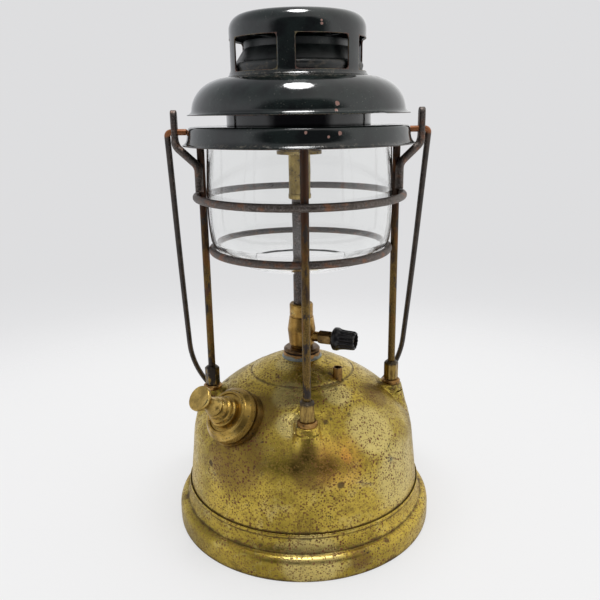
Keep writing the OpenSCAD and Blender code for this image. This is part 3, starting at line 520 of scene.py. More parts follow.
def rounded_ends(path, half, edge):
    """A rod's path and half widths with its two ends rounded over."""
    path = [np.array(p, float) for p in path]
    first = (path[1] - path[0]) / np.linalg.norm(path[1] - path[0])
    last = (path[-1] - path[-2]) / np.linalg.norm(path[-1] - path[-2])
    steps = [0.0, 0.3, 0.65, 1.0]
    drop = [half - edge * (1 - sqrt(1 - (1 - s) ** 2)) for s in steps]
    head = [path[0] + first * edge * s for s in steps]
    tail = [path[-1] - last * edge * s for s in reversed(steps)]
    middle = [p for p in path[1:-1]
              if min(np.linalg.norm(p - path[0]), np.linalg.norm(p - path[-1])) > edge * 1.2]
    return head + middle + tail, drop + [half] * len(middle) + drop[::-1]


def combine(piece, *others, operation="DIFFERENCE"):
    """Cuts the others out of a piece, or unites them with it, and removes them."""
    for other in others:
        made = piece.modifiers.new(operation, "BOOLEAN")
        made.operation = operation
        made.solver = "EXACT"
        made.object = other
    shaped = piece.evaluated_get(bpy.context.evaluated_depsgraph_get())
    mesh = bpy.data.meshes.new_from_object(shaped)
    piece.modifiers.clear()
    piece.data = mesh
    for other in others:
        bpy.data.objects.remove(other)


def plug(name, place, radius, low, high, turns=96):
    """A plain round cutter along a place's Z, measured in millimetres."""
    low, high = low * MM, high * MM
    return turned(name, [(0, low), (radius * MM, low), (radius * MM, high), (0, high)], False, place, turns)


def prism(name, outline, place, depth):
    """A straight cutter: the outline in the place's XY plane, from 0 to depth along its Z."""
    count = len(outline)
    points = [place @ Vector((x, y, z)) for z in (0, depth) for x, y in outline]
    faces = [tuple(reversed(range(count))), tuple(range(count, 2 * count))]
    faces += [(i, (i + 1) % count, count + (i + 1) % count, count + i) for i in range(count)]
    return add_piece(name, points, faces)


def rounded_rectangle(width, height, corner, steps=8):
    points = []
    for x, y, start in ((1, 1, 0), (-1, 1, 90), (-1, -1, 180), (1, -1, 270)):
        for i in range(steps + 1):
            a = radians(start + 90 * i / steps)
            points.append((x * (width / 2 - corner) + corner * cos(a),
                           y * (height / 2 - corner) + corner * sin(a)))
    return points


def cover(node, material):
    """Gives a CAD node that stays as it is its material."""
    made = frame["nodes"][node]
    if not made.data.materials:
        made.data.materials.append(None)
    for slot in made.material_slots:
        slot.link = "OBJECT"
        slot.material = material


def cover_each(paint_with, *rows):
    """Covers each row's node with a material of its own, painted with the rest of the row."""
    for node, *values in rows:
        cover(node, paint_with(*values))


def dress(piece, node, material):
    """Puts a finished piece in the place of its CAD node."""
    piece.data.materials.clear()
    piece.data.materials.append(material)
    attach(piece, BODY_OF[node])
    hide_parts(node)


def turned_copy(node, place=UPRIGHT, turns=240, shape=None, fewest=12, **refining):
    """A finer mesh of a turned CAD node."""
    outline, closed = outline_of(node, place, fewest)
    return turned(node + "_piece", refined(outline, closed, **refining), closed, place, turns, shape)


def turned_node(node, material, *place, **finish):
    dress(turned_copy(node, *place, **finish), node, material)


# ---- Materials ----

BRASS = (0.63, 0.46, 0.080)
OLIVE = (0.36, 0.265, 0.040)
# Light brass of painted highlights.
PALE_BRASS = (0.68, 0.59, 0.25)
HIGHLIGHT_BRASS = (0.76, 0.64, 0.27)
GOLD_BRASS = (0.56, 0.35, 0.10)
DULL_BRASS = (0.22, 0.14, 0.035)
TARNISH = (0.13, 0.075, 0.03)
PIT_RED = (0.17, 0.05, 0.02)
PIT_DARK = (0.035, 0.024, 0.015)
# Copper colour of a painted reflection.
COPPER_REFLECTION = (0.84, 0.42, 0.09)
SOLDER = (0.115, 0.12, 0.085)
PALE_SOLDER = (0.34, 0.37, 0.36)
COLLAR_BRASS = ((0.22, 0.13, 0.05), (0.50, 0.27, 0.10))
ROD_PLATE = ((0.085, 0.052, 0.017), (0.25, 0.16, 0.045))
ROD_STEEL = ((0.07, 0.032, 0.018), (0.055, 0.037, 0.028))
PLATED_TO = 0.19
ROD_BLACK = (0.028, 0.018, 0.013)
ROD_TINGE = (0.20, 0.075, 0.02)
NUT_BRASS = ((0.16, 0.10, 0.035), (0.42, 0.285, 0.085))
NUT_BLACK = (0.022, 0.017, 0.014)
STEEL_OXIDE = (0.095, 0.078, 0.068)
STEEL_BLACK = (0.03, 0.024, 0.02)
STEEL_WORN = (0.27, 0.24, 0.22)
RUST = (0.20, 0.062, 0.022)
RUST_ORANGE = (0.42, 0.15, 0.035)
WIRE_LACQUER = ((0.026, 0.02, 0.016), (0.06, 0.043, 0.032))
ENAMEL = ((0.0065, 0.0085, 0.0085), (0.012, 0.018, 0.0165))
ENAMEL_DUST = (0.16, 0.15, 0.13)
ENAMEL_GRIME = ((0.06, 0.045, 0.03), (0.26, 0.22, 0.16))
ENAMEL_EDGE = ((0.10, 0.035, 0.018), (0.15, 0.115, 0.045))
ENAMEL_CHIP = ((0.22, 0.09, 0.06), (0.44, 0.26, 0.22))
GLASS, GLASS_DUST = (0.985, 0.99, 0.985), (0.8, 0.79, 0.75)
BAKELITE = ((0.0075, 0.0065, 0.0075), (0.02, 0.017, 0.018))
BAKELITE_WORN = (0.12, 0.11, 0.10)


def patches(*rows):
    """((x, y, z), reach, ...) of patches, from rows in millimetres; a strength may follow the reach."""
    return [((x * MM, y * MM, z * MM), reach * MM, *strength) for x, y, z, reach, *strength in rows]


def aged_brass(name, creases=(), glow=(), darks=(), solder=(), dull=(), painted_highlights=()):
    """Old tank brass: clouded, speckled with pits, darkened along creases by grime and painted shade.

    creases are dark lines round the axis, of grime and painted shade: (radius, height, reach) in millimetres.
    The others are patches, in this order: glow (with a strength) is a painted copper-coloured reflection, darks
    are stains, solder is grey, dull is browned, and the last are painted highlights of light brass."""
    paint = Paint(name)
    x, y, z = paint.axes()
    cloud = paint.noise(48, 4, 0.6)
    smear = paint.noise(15, 6, 0.66, twist=0.6)
    grain = paint.noise(1.6, 5, 0.7)
    color = paint.mix(paint.level(cloud, 0.34, 0.62), OLIVE, BRASS)
    color = paint.over(color, paint.level(smear, 0.5, 0.75), 0.55, PALE_BRASS)
    color = paint.over(color, paint.level(smear, 0.46, 0.3), 0.6, TARNISH)
    color = paint.over(color, paint.level(grain, 0.55, 0.3), 0.4, TARNISH)
    # Dull patches brown the brass; the highlight patches paint highlights in light brass.
    for places, strength, tint in ((dull, 0.8, DULL_BRASS), (painted_highlights, 0.55, HIGHLIGHT_BRASS)):
        for place in places:
            color = paint.over(color, paint.level(paint.patch(*place, cloud, 0.8), 0.1, 0.9), strength, tint)
    # Painted reflection: soft copper-coloured spots of reflected light, flecked by the grain.
    for point, reach, strength in glow:
        reflection_spot = paint.math("POWER", paint.level(paint.patch(point, reach, smear, 1.7), 0.0, 1.2), 1.5)
        flecked = paint.blend(paint.level(grain, 0.35, 0.6), 0.55 * strength, strength)
        color = paint.over(color, reflection_spot, flecked, COPPER_REFLECTION)
    masks = []
    radial = paint.size(x, y)
    # Dark lines along the creases: grime, and painted shade where the creases are recessed and at the foot.
    for crease in creases:
        radius, height, reach = (value * MM for value in crease)
        away = paint.math("MAXIMUM", paint.size(paint.minus(radial, radius)), paint.size(paint.minus(z, height)))
        away = paint.plus(away, paint.uneven(smear, reach * 3))
        masks.append(paint.times(paint.level(away, reach, 0.0), 0.8))
    for place in darks:
        uneven = paint.minus(paint.plus(paint.times(smear, 1.2), paint.times(grain, 1.3)), 1.25)
        masks.append(paint.times(paint.level(paint.plus(paint.near(*place), uneven), 0.25, 1.1), 0.9))
    crowd = paint.level(paint.noise(30, 3, 0.6), 0.38, 0.6)
    tiny = paint.both(paint.spots(1.15, 0.8, 3.1), paint.blend(crowd, 0.65, 1.0))
    small = paint.both(paint.spots(1.8, 1.0, 7.7), paint.blend(crowd, 0.5, 1.0))
    large = paint.both(paint.spots(8.5, 1.5, 1.9), crowd)
    pits = paint.either(tiny, small, large)
    rough = paint.blend(paint.level(smear, 0.3, 0.7), 0.42, 0.27)
    metal = paint.blend(pits, 1.0, 0.45)
    # Stains, grime and the creases' painted shade, all darkening the brass.
    if masks:
        darkening = paint.times(paint.either(*masks), 0.85)
        color = paint.mix(darkening, color, PIT_DARK)
        rough = paint.blend(darkening, rough, 0.6)
        metal = paint.blend(darkening, metal, 0.5)
    hue = paint.level(paint.noise(9, 3), 0.26, 0.44)
    color = paint.over(color, tiny, 0.6, paint.mix(hue, PIT_DARK, PIT_RED))
    color = paint.over(color, small, 0.85, paint.mix(hue, PIT_DARK, PIT_RED))
    color = paint.over(color, large, 0.7, PIT_DARK)
    for place in solder:
        color = paint.over(color, paint.level(paint.patch(*place, smear, 2.6), 0.35, 0.95), 0.9, SOLDER)
    scratch = paint.noise(0.9, 4, 0.7, squeeze=(0.25, 0.25, 1.0))
    normal = paint.bump(paint.plus(paint.times(scratch, 0.5), smear), 0.06)
    normal = paint.bump(paint.minus(1.0, pits), 0.07, normal)
    return paint.finish(color, paint.blend(pits, rough, 0.65), normal, metal)


def turned_brass(name, tint=GOLD_BRASS, darkening=0.5):
    """Brass turned on a lathe and lightly tarnished."""
    paint = Paint(name)
    cloud = paint.noise(9, 5, 0.62, twist=0.5)
    grain = paint.noise(1.1, 5, 0.7)
    color = paint.mix(paint.level(cloud, 0.32, 0.66), tuple(c * 0.55 for c in tint), tint)
    color = paint.over(color, paint.level(cloud, 0.56, 0.8), 0.6, PALE_BRASS)
    color = paint.over(color, paint.level(grain, 0.5, 0.28), darkening, TARNISH)
    speck = paint.times(paint.spots(1.9, 0.8, 5.3), darkening)
    color = paint.mix(speck, color, PIT_DARK)
    rough = paint.blend(paint.level(cloud, 0.35, 0.7), 0.42, 0.27)
    normal = paint.bump(paint.plus(paint.times(grain, 0.6), cloud), 0.03)
    return paint.finish(color, rough, normal, paint.blend(speck, 1.0, 0.5))


def plated_rod(name):
    """A steel rod under thin brass plate, which is blotched low down and rusted away higher up."""
    paint = Paint(name)
    blotch = paint.noise(5, 5, 0.62, squeeze=(1, 1, 0.4))
    grain = paint.noise(0.8, 5, 0.7)
    plate = paint.mix(paint.level(grain, 0.35, 0.65), *ROD_PLATE)
    bare = paint.mix(paint.level(blotch, 0.4, 0.65), *ROD_STEEL)
    worn = paint.plus(paint.axes()[2], paint.uneven(blotch, 0.16))
    color = paint.mix(paint.level(worn, PLATED_TO - 0.03, PLATED_TO + 0.02), plate, bare)
    dark = paint.level(blotch, 0.45, 0.38)
    color = paint.mix(dark, color, ROD_BLACK)
    tinge = paint.level(paint.noise(9, 3, 0.5, squeeze=(1, 1, 0.5)), 0.58, 0.68)
    color = paint.over(color, tinge, 0.45, ROD_TINGE)
    normal = paint.bump(paint.plus(grain, blotch), 0.05)
    return paint.finish(color, paint.blend(grain, 0.32, 0.6), normal, paint.blend(dark, 0.9, 0.4))


def oxidised_steel(name, rusty=0.5, tone=STEEL_OXIDE):
    paint = Paint(name)
    blotch = paint.noise(7, 5, 0.65)
    grain = paint.noise(0.9, 5, 0.72)
    color = paint.mix(paint.level(grain, 0.42, 0.75), tone, STEEL_WORN)
    rust = paint.times(paint.level(blotch, 0.5, 0.66), rusty)
    color = paint.mix(rust, color, paint.mix(grain, RUST, RUST_ORANGE))
    color = paint.over(color, paint.level(blotch, 0.42, 0.3), 0.7, STEEL_BLACK)
    normal = paint.bump(paint.plus(grain, paint.times(blotch, 0.6)), 0.07)
    return paint.finish(color, paint.blend(grain, 0.36, 0.62), normal, paint.blend(rust, 0.8, 0.25))


def dark_wire(name):
    """Lacquered wire, dark brown, rubbed, and rusty at its two ends."""
    paint = Paint(name)
    blotch = paint.noise(8, 4, 0.6)
    grain = paint.noise(0.9, 5, 0.7)
    color = paint.mix(paint.level(blotch, 0.35, 0.65), *WIRE_LACQUER)
    height = paint.plus(paint.axes()[2], paint.times(blotch, 2 * MM))
    ends = paint.level(height, BAIL_PIVOT.z - 2.5 * MM, BAIL_PIVOT.z - 0.5 * MM)
    color = paint.mix(ends, color, paint.mix(grain, RUST, RUST_ORANGE))
    color = paint.mix(paint.level(grain, 0.66, 0.8), color, STEEL_WORN)
    return paint.finish(color, paint.blend(grain, 0.3, 0.5), paint.bump(paint.plus(grain, blotch), 0.04), 0.25)


def vitreous_enamel(name, chips=(), grime=None, edge=None, gloss=(0.09, 0.15)):
    """Very dark green-black enamel, worn to bare rusty steel along its edge.

    chips are patches; grime is the (low, high) height in millimetres between which dust has settled;
    edge(paint) is the distance to the bare edge; gloss is the range of its roughness."""
    paint = Paint(name)
    z = paint.axes()[2]
    cloud = paint.noise(16, 4, 0.6)
    grain = paint.noise(1.2, 5, 0.72)
    color = paint.mix(paint.level(cloud, 0.4, 0.6), *ENAMEL)
    dust = paint.both(paint.spots(1.6, 0.5, 2.2), paint.level(cloud, 0.45, 0.6))
    color = paint.over(color, dust, 0.35, ENAMEL_DUST)
    rough = paint.blend(paint.level(cloud, 0.35, 0.7), *gloss)
    if grime:
        low, high = grime[0] * MM, grime[1] * MM
        soft = 1.2 * MM
        band = paint.both(paint.level(z, low - soft, low + soft), paint.level(z, high + soft, high - soft),
                          paint.level(paint.noise(3.5, 6, 0.75, squeeze=(1, 1, 1.6)), 0.48, 0.66))
        color = paint.over(color, band, 0.6, paint.mix(grain, *ENAMEL_GRIME))
        rough = paint.blend(band, rough, 0.55)
    bare = []
    if edge:
        ragged = paint.plus(edge(paint), paint.uneven(grain, 1.3 * MM))
        bare.append(paint.times(paint.level(ragged, 0.45 * MM, 0.05 * MM), 0.85))
        color = paint.mix(bare[0], color, paint.mix(paint.level(cloud, 0.4, 0.6), *ENAMEL_EDGE))
    for place in chips:
        bare.append(paint.level(paint.patch(*place, grain, 1.6), 0.45, 0.75))
        color = paint.mix(bare[-1], color, paint.mix(grain, *ENAMEL_CHIP))
    normal = paint.bump(paint.noise(7, 3, 0.5), 0.10)
    if bare:
        bare = paint.either(*bare)
        rough = paint.blend(bare, rough, 0.6)
        normal = paint.bump(paint.minus(1.0, bare), 0.06, normal)
    return paint.finish(color, rough, normal, IOR=1.6)


def clear_glass(name):
    """Blown glass with faint upright streaks and a little dust."""
    paint = Paint(name)
    streak = paint.noise(5, 3, 0.5, squeeze=(1, 1, 0.06))
    dust = paint.level(paint.noise(3, 5, 0.7), 0.62, 0.8)
    return paint.finish(paint.over(GLASS, dust, 0.12, GLASS_DUST), paint.times(dust, 0.10),
                        paint.bump(streak, 0.035), IOR=1.46, Transmission_Weight=1.0)


def black_bakelite(name):
    paint = Paint(name)
    cloud = paint.noise(4, 4, 0.6)
    grain = paint.noise(0.6, 5, 0.7)
    color = paint.mix(paint.level(cloud, 0.35, 0.7), *BAKELITE)
    color = paint.mix(paint.level(grain, 0.7, 0.85), color, BAKELITE_WORN)
    return paint.finish(color, paint.blend(cloud, 0.25, 0.45), paint.bump(paint.plus(grain, cloud), 0.02))


def soft_seal(name, color=(0.03, 0.026, 0.023), rough=0.75):
    paint = Paint(name)
    grain = paint.noise(0.7, 5, 0.7)
    shade = paint.mix(grain, tuple(c * 0.6 for c in color), tuple(c * 1.5 for c in color))
    return paint.finish(shade, rough, paint.bump(grain, 0.05))


def solder_brass(name):
    """A soldered brass collar: brass above, with blue-grey solder along its foot."""
    paint = Paint(name)
    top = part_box("tank_collar")[1].z
    smear = paint.noise(5, 5, 0.65)
    grain = paint.noise(0.8, 5, 0.7)
    height = paint.plus(paint.axes()[2], paint.times(paint.minus(smear, 0.45), 9 * MM))
    brass = paint.mix(paint.level(smear, 0.35, 0.65), *COLLAR_BRASS)
    soldered = paint.level(height, top - 1.3 * MM, top - 1.9 * MM)
    color = paint.mix(soldered, brass, paint.mix(grain, SOLDER, PALE_SOLDER))
    color = paint.mix(paint.level(grain, 0.42, 0.3), color, PIT_DARK)
    return paint.finish(color, paint.blend(grain, 0.3, 0.5), paint.bump(paint.plus(grain, smear), 0.08), 0.85)


def nut_brass(name):
    """Sleeve nuts: brass worn to streaks on the flats, black at the top; the left one is black nearly all over."""
    paint = Paint(name)
    x, _, z = paint.axes()
    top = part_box("post_nuts")[1].z
    streak = paint.noise(1.6, 5, 0.7, squeeze=(1, 1, 0.25))
    grain = paint.noise(0.7, 5, 0.72)
    color = paint.mix(paint.level(streak, 0.36, 0.62), *NUT_BRASS)
    dark = paint.level(paint.plus(z, paint.uneven(grain, 2.5 * MM)), top - 3.2 * MM, top - 1.6 * MM)
    left = paint.both(paint.level(x, -40 * MM, -50 * MM), paint.level(streak, 0.62, 0.5))
    dark = paint.either(paint.times(dark, 0.85), paint.times(left, 0.97))
    color = paint.mix(dark, color, NUT_BLACK)
    normal = paint.bump(paint.plus(streak, paint.times(grain, 0.5)), 0.07)
    return paint.finish(color, paint.blend(grain, 0.3, 0.48), normal, paint.blend(dark, 1.0, 0.5))


# ---- Tank and base ----

# Creases of the base, darkened: the one at the foot is painted shade against the floor, the others grime and
# painted shade.
BASE_CREASES = [(86.6, 0, 2.6), (81.4, 16, 1.5), (79.1, 24.8, 1.0)]
BEAD_TOP = (78.2, 27.6, 1.2)
DOME_CREASE = (34.2, 102.6, 1.3)
ROLL_CENTRE, ROLL_SIZE, ROLL_POWER = (80.5, 8), (6.2, 7.3), 0.72
ROLL_FOOT = ((86.7, 1.6), (86.6, 0.7))

POST_RADIUS = 60.8 * MM
TURNS_OF_POSTS = [radians(a) for a in (0, 90, 180, 270)]
FEET = [(POST_RADIUS * cos(a), POST_RADIUS * sin(a), 88 * MM) for a in TURNS_OF_POSTS]
BOSS_TOP, CONE_RADIUS, CONE_LENGTH = 90 * MM, 7 * MM, 18 * MM
CONE_SLOPE, SHELF_SLOPE, CONE_SOFTNESS = 0.25, 8, 3.5 * MM
FOLD_RADIUS, FOLD_WIDTH, FOLD_HEIGHT = 37 * MM, 2.1 * MM, 0.4 * MM


def faded_band(height, low, high, soft):
    """1 between two heights, falling to 0 at both."""
    return np.clip((height - low) / soft, 0, 1) * np.clip((high - height) / soft, 0, 1)


def dented(size, depth, low, high, seed):
    """A shape for turned(): slight dents between two heights. All but the seed are in millimetres."""
    def shape(radius, height, angle):
        points = np.stack([radius * np.cos(angle), radius * np.sin(angle), height], -1).reshape(-1, 3)
        dent = depth * MM * ripple(points, size * MM, seed).reshape(radius.shape)
        return radius - dent * faded_band(height, low * MM, high * MM, 5 * MM), height
    return shape


def swollen(shape):
    """Draws a tank's shape out into soft cones over the four bosses, and up into a fold below the dome's crease."""
    def drawn_out(radius, height, angle):
        radius, height = shape(radius, height, angle)
        fold = FOLD_HEIGHT * np.exp(-((radius - FOLD_RADIUS) / FOLD_WIDTH) ** 2)
        height = height + fold * (height > BOSS_TOP)
        for turn in TURNS_OF_POSTS:
            below = BOSS_TOP - height
            widened = np.minimum(below, CONE_LENGTH) * CONE_SLOPE
            reach = CONE_RADIUS + np.where(below > 0, widened, below * SHELF_SLOPE)
            inside = reach * np.abs(reach) - (POST_RADIUS * np.sin(angle - turn)) ** 2
            cone = POST_RADIUS * np.cos(angle - turn) + np.sign(inside) * np.sqrt(np.abs(inside))
            share = np.clip(0.5 + 0.5 * (cone - radius) / CONE_SOFTNESS, 0, 1)
            radius = radius * (1 - share) + cone * share + CONE_SOFTNESS * share * (1 - share) * (below > 0)
        return radius, height
    return drawn_out


def base_outline():
    """The base ring's CAD outline with the fuller roll that the pressed sheet has, down to its rolled foot."""
    outline, closed = outline_of("base_ring")
    top = int(np.argmax([p[1] for p in outline]))
    outline = list(outline[:top + 1]) + [p for p in outline[top + 1:] if p[0] < 81.5 * MM]
    for a in np.radians(np.linspace(87, 0, 22)):
        arm = cos(a) ** ROLL_POWER, sin(a) ** ROLL_POWER
        outline.append(np.array([c + s * part for c, s, part in zip(ROLL_CENTRE, ROLL_SIZE, arm)]) * MM)
    outline = [p for p in outline if p[1] > 15.2 * MM or p[0] < 81 * MM or p[0] > 81.7 * MM]
    return outline + [np.array(p) * MM for p in ROLL_FOOT], closed


def make_tank():
    base = aged_brass("base_brass", creases=[*BASE_CREASES, BEAD_TOP],
                      darks=patches((48, -70, 16, 4), (-30, -76, 19, 3)),
                      # The last patch is a painted highlight of the lamp on the front of the roll.
                      dull=patches((30, -80, 10, 11)), painted_highlights=patches((0, -85, 13, 26)))
    outline, closed = base_outline()
    piece = turned("base_ring_piece", refined(outline, closed, fillet=0.2, step=0.8), closed, turns=288,
                   shape=dented(30, 0.07, 1, 27, 3))
    dress(piece, "base_ring", base)
    turned_node("tank_bottom", aged_brass("bottom_brass"), turns=144, step=3)

    shell = aged_brass(
        "tank_brass", creases=[BEAD_TOP, DOME_CREASE],
        # glow paints copper-coloured reflections low on the front.
        glow=patches((19, -68, 69, 24, 0.4), (22, -67, 73, 6, 0.75), (23, -67, 70, 5, 0.75)),
        darks=patches((19.9, -32.7, 100.3, 2.2), (19, -72.8, 56.2, 3.5), (11.5, -55, 89, 3), (15, -53, 90, 2),
                      (17, -22, 107, 3), (52, -4, 90, 5), (-52, 8, 90, 5), (-60, -45, 58, 3)),
        solder=patches((0, 0, 113, 15)) + [(foot, 9.5 * MM) for foot in FEET],
        dull=patches((-48, -60, 70, 34), (-30, -44, 92, 20), (2, -73, 68, 20), (48, -24, 94, 16)),
        # The last patches are painted highlights: a band below the dome's crease, spots beside the front boss and
        # on the shoulder.
        painted_highlights=patches((40, -50, 80, 24), (60, -50, 50, 32), (-10, -38, 100, 15), (20, -36, 99, 14),
                       (-10, -12, 112, 12), (-10, -56, 88, 12)))
    piece = turned_copy("tank_shell", turns=400, shape=swollen(dented(34, 0.09, 30, 100, 11)), step=1.4)
    low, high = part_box("accessory_socket")
    radius = (high.x - low.x) / 2 + 0.05 * MM
    combine(piece, plug("filler_cut", FILLER_AXIS, 14.05, -28, 28),
            plug("socket_cut", Matrix.Translation((low + high) / 2), radius / MM, -8, 8))
    dress(piece, "tank_shell", shell)

    turned_node("tank_collar", solder_brass("collar_brass"), turns=144, fillet=0.3, step=0.8)
    cover("post_bosses", aged_brass("boss_brass", solder=[(foot, 9 * MM) for foot in FEET]))
    cover_each(turned_brass, ("post_collars", "copper_ring", (0.40, 0.22, 0.07), 0.8),
               ("accessory_socket", "socket_brass", (0.42, 0.24, 0.075), 0.7))


# ---- Cage ----

WIRE, LEG_X, TIP_BEND, ARCH_RADIUS, BAIL_REACH = 1.9 * MM, 80.5 * MM, 2.6 * MM, 81.3 * MM, 246.5 * MM
BAIL_TURNED, BAIL_ASIDE, BAIL_WAVE = 0.0033, 1.2 * MM, 0.5 * MM

EYE_X, EYE_THICK, EYE_WIDE, EYE_HOLE = 75.9 * MM, 4 * MM, 7 * MM, 1.98
EAR_FOOT, EAR_HALF, EAR_BEND, EAR_TURN = (62.2 * MM, -4.375 * MM), 2.5 * MM, 7 * MM, radians(50)


def make_cage():
    cover("posts", plated_rod("post_plate"))
    steel = oxidised_steel("ring_steel", 0.5)
    cover("low_ring", steel)
    cover("mid_ring", steel)
    make_bail()
    cover("post_nuts", nut_brass("nut_brass"))
    for side in (1, -1):
        make_ear(side)


def make_bail():
    """The bail's wire: bent tips, legs that hang nearly straight, and an arch. It is turned a little from its
    CAD place, so that it clears the base at both ends of its swing."""
    low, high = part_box("bail_handle")
    corners = frame["nodes"]["bail_handle"].data.vertices
    tip = min(abs(v.co.x) for v in corners if v.co.z > BAIL_PIVOT.z - 1 * MM)
    tilt = atan2(high.y, BAIL_PIVOT.z - low.z) - BAIL_TURNED
    straight, arch_down = LEG_X - TIP_BEND, BAIL_REACH - ARCH_RADIUS
    flat = [(tip, 0)] + [(x, 0) for x in np.arange(tip + 1 * MM, straight, 1 * MM)]
    flat += [(straight + TIP_BEND * sin(a), TIP_BEND - TIP_BEND * cos(a))
             for a in np.radians(range(0, 91, 15))]
    flat += [(LEG_X + (ARCH_RADIUS - LEG_X) * s, TIP_BEND + (arch_down - TIP_BEND) * s)
             for s in np.linspace(0, 1, 60)[1:]]
    flat += [(ARCH_RADIUS * cos(a), arch_down + ARCH_RADIUS * sin(a))
             for a in np.radians(range(3, 91, 3))]
    flat += [(-x, down) for x, down in reversed(flat[:-1])]
    path = []
    for x, down in flat:
        lean = min(down / arch_down, 1.0)
        wave = BAIL_WAVE * sin(down / (42 * MM)) * lean * (1 if x > 0 else -0.6)
        path.append(BAIL_PIVOT + Vector((x - BAIL_ASIDE * lean + wave, down * sin(tilt), -down * cos(tilt))))
    path, widths = rounded_ends(path, WIRE, 0.9 * MM)
    dress(rod("bail_handle_piece", path, widths, around=20), "bail_handle", dark_wire("bail_lacquer"))


def make_ear(side):
    """A bent rod whose end is hammered flat into the bail's eye; side is 1 on the right."""
    node = "right_ear" if side > 0 else "left_ear"
    low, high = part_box(node)
    foot = Vector((*EAR_FOOT, low.z))
    run = Vector((EYE_X - foot.x, -foot.y, 0))
    reach, run = run.length, run.normalized()
    slope = (reach - 2 * EAR_BEND * (1 - cos(EAR_TURN))) / sin(EAR_TURN)
    rise = slope * cos(EAR_TURN) + 2 * EAR_BEND * sin(EAR_TURN)
    eye_foot = BAIL_PIVOT.z - 5 * MM
    bent_from = Vector((foot.x, foot.y, eye_foot - rise))
    across = Vector((-run.y, run.x, 0))
    path = [np.array(foot)] + line(foot, bent_from, 2 * MM)
    path += bend(bent_from + run * EAR_BEND, path[-1], across, EAR_TURN)
    along = run * sin(EAR_TURN) + UP * cos(EAR_TURN)
    path += line(path[-1], Vector(path[-1]) + along * slope, 2 * MM)
    centre = Vector(path[-1]) - (run * cos(EAR_TURN) - UP * sin(EAR_TURN)) * EAR_BEND
    path += bend(centre, path[-1], across, -EAR_TURN)
    half_eye = EYE_WIDE / 2
    round_end = high.z - half_eye
    path += line(path[-1], (EYE_X, 0, round_end), 1 * MM)
    path += [np.array((EYE_X, 0, round_end + half_eye * sin(a))) for a in np.linspace(0.15, 1.52, 10)]
    path = np.array(path)
    flat = np.clip((path[:, 2] - (eye_foot - 5 * MM)) / (7 * MM), 0, 1)
    flat = flat * flat * (3 - 2 * flat)
    over = np.clip((path[:, 2] - round_end) / half_eye, 0, 1)
    width = (EAR_HALF + (half_eye - EAR_HALF) * flat) * np.sqrt(1 - over * over * 0.9985)
    depth = (EAR_HALF - (EAR_HALF - EYE_THICK / 2) * flat) * (1 - 0.25 * over ** 6)
    sideways = np.array([np.array(across) * (1 - f) + np.array((0, 1.0, 0)) * f for f in flat])
    if side < 0:
        path[:, 0] *= -1
        sideways[:, 0] *= -1
    piece = rod(node + "_piece", path, width, depth, around=40, side=sideways, square=2 + 1.6 * flat)
    across_eye = place_on((side * EYE_X, 0, BAIL_PIVOT.z), (1, 0, 0), UP)
    combine(piece, plug("eye_cut", across_eye, EYE_HOLE, -6, 6, 64))
    dress(piece, node, oxidised_steel(node + "_steel", 0.35))


# ---- Glass and hood ----

CAP_WALL, CAP_SHEET = 40.6 * MM, 0.8 * MM
WINDOWS = dict(count=6, turn=radians(18.6), width=31.3 * MM, low=292.014 * MM, high=310.414 * MM)
WALL_TOP = 311.5 * MM
SHOULDER_R, SHOULDER_Z, SHOULDER_ROUND = 32 * MM, 315.5 * MM, 8.6 * MM
EYE_SLOT_HALF, EYE_SLOT_FROM, EYE_SLOT_DEPTH = 2.6 * MM, 66.9 * MM, 6.1 * MM
BRIM_SHORTER, BRIM_FLARE, BRIM_EDGE = 1.5 * MM, 271.3 * MM, 1.6 * MM
BRIM_NOTCHES = [(38.5, 1.5, 0.9), (41, 1.2, 0.5), (35, 0.9, 0.45), (-20, 1.5, 0.25), (74, 2, 0.35)]


def crown(inset):
    """The cap's outline over its windows, from the wall to the axis: a tight shoulder and a nearly flat top."""
    round_r = SHOULDER_ROUND - inset
    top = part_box("hood_cap")[1].z - inset
    points = [np.array((SHOULDER_R + round_r, WALL_TOP))]
    points += [np.array((SHOULDER_R + round_r * cos(a), SHOULDER_Z + round_r * sin(a)))
               for a in np.radians(range(0, 91, 9))]
    edge = points[-1][1]
    return points + [np.array((SHOULDER_R * (1 - s), edge + (top - edge) * (1 - (1 - s) ** 2)))
                     for s in (0.25, 0.5, 0.75, 1.0)]


def chipped(radius, height, angle):
    """A shape for turned(): lifts the dome's brim where it is bent and chipped."""
    azimuth = (np.degrees(angle) + 90 + 180) % 360 - 180
    lift = 0.12 * MM * (1 + np.sin(3 * angle + 1) * np.sin(7 * angle)) / 2
    for middle, spread, depth in BRIM_NOTCHES:
        lift = lift + depth * MM * np.exp(-((azimuth - middle) / spread) ** 2)
    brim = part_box("hood_dome")[0].z
    return radius, height + lift * np.clip(1 - (height - brim - BRIM_SHORTER) / BRIM_EDGE, 0, 1)


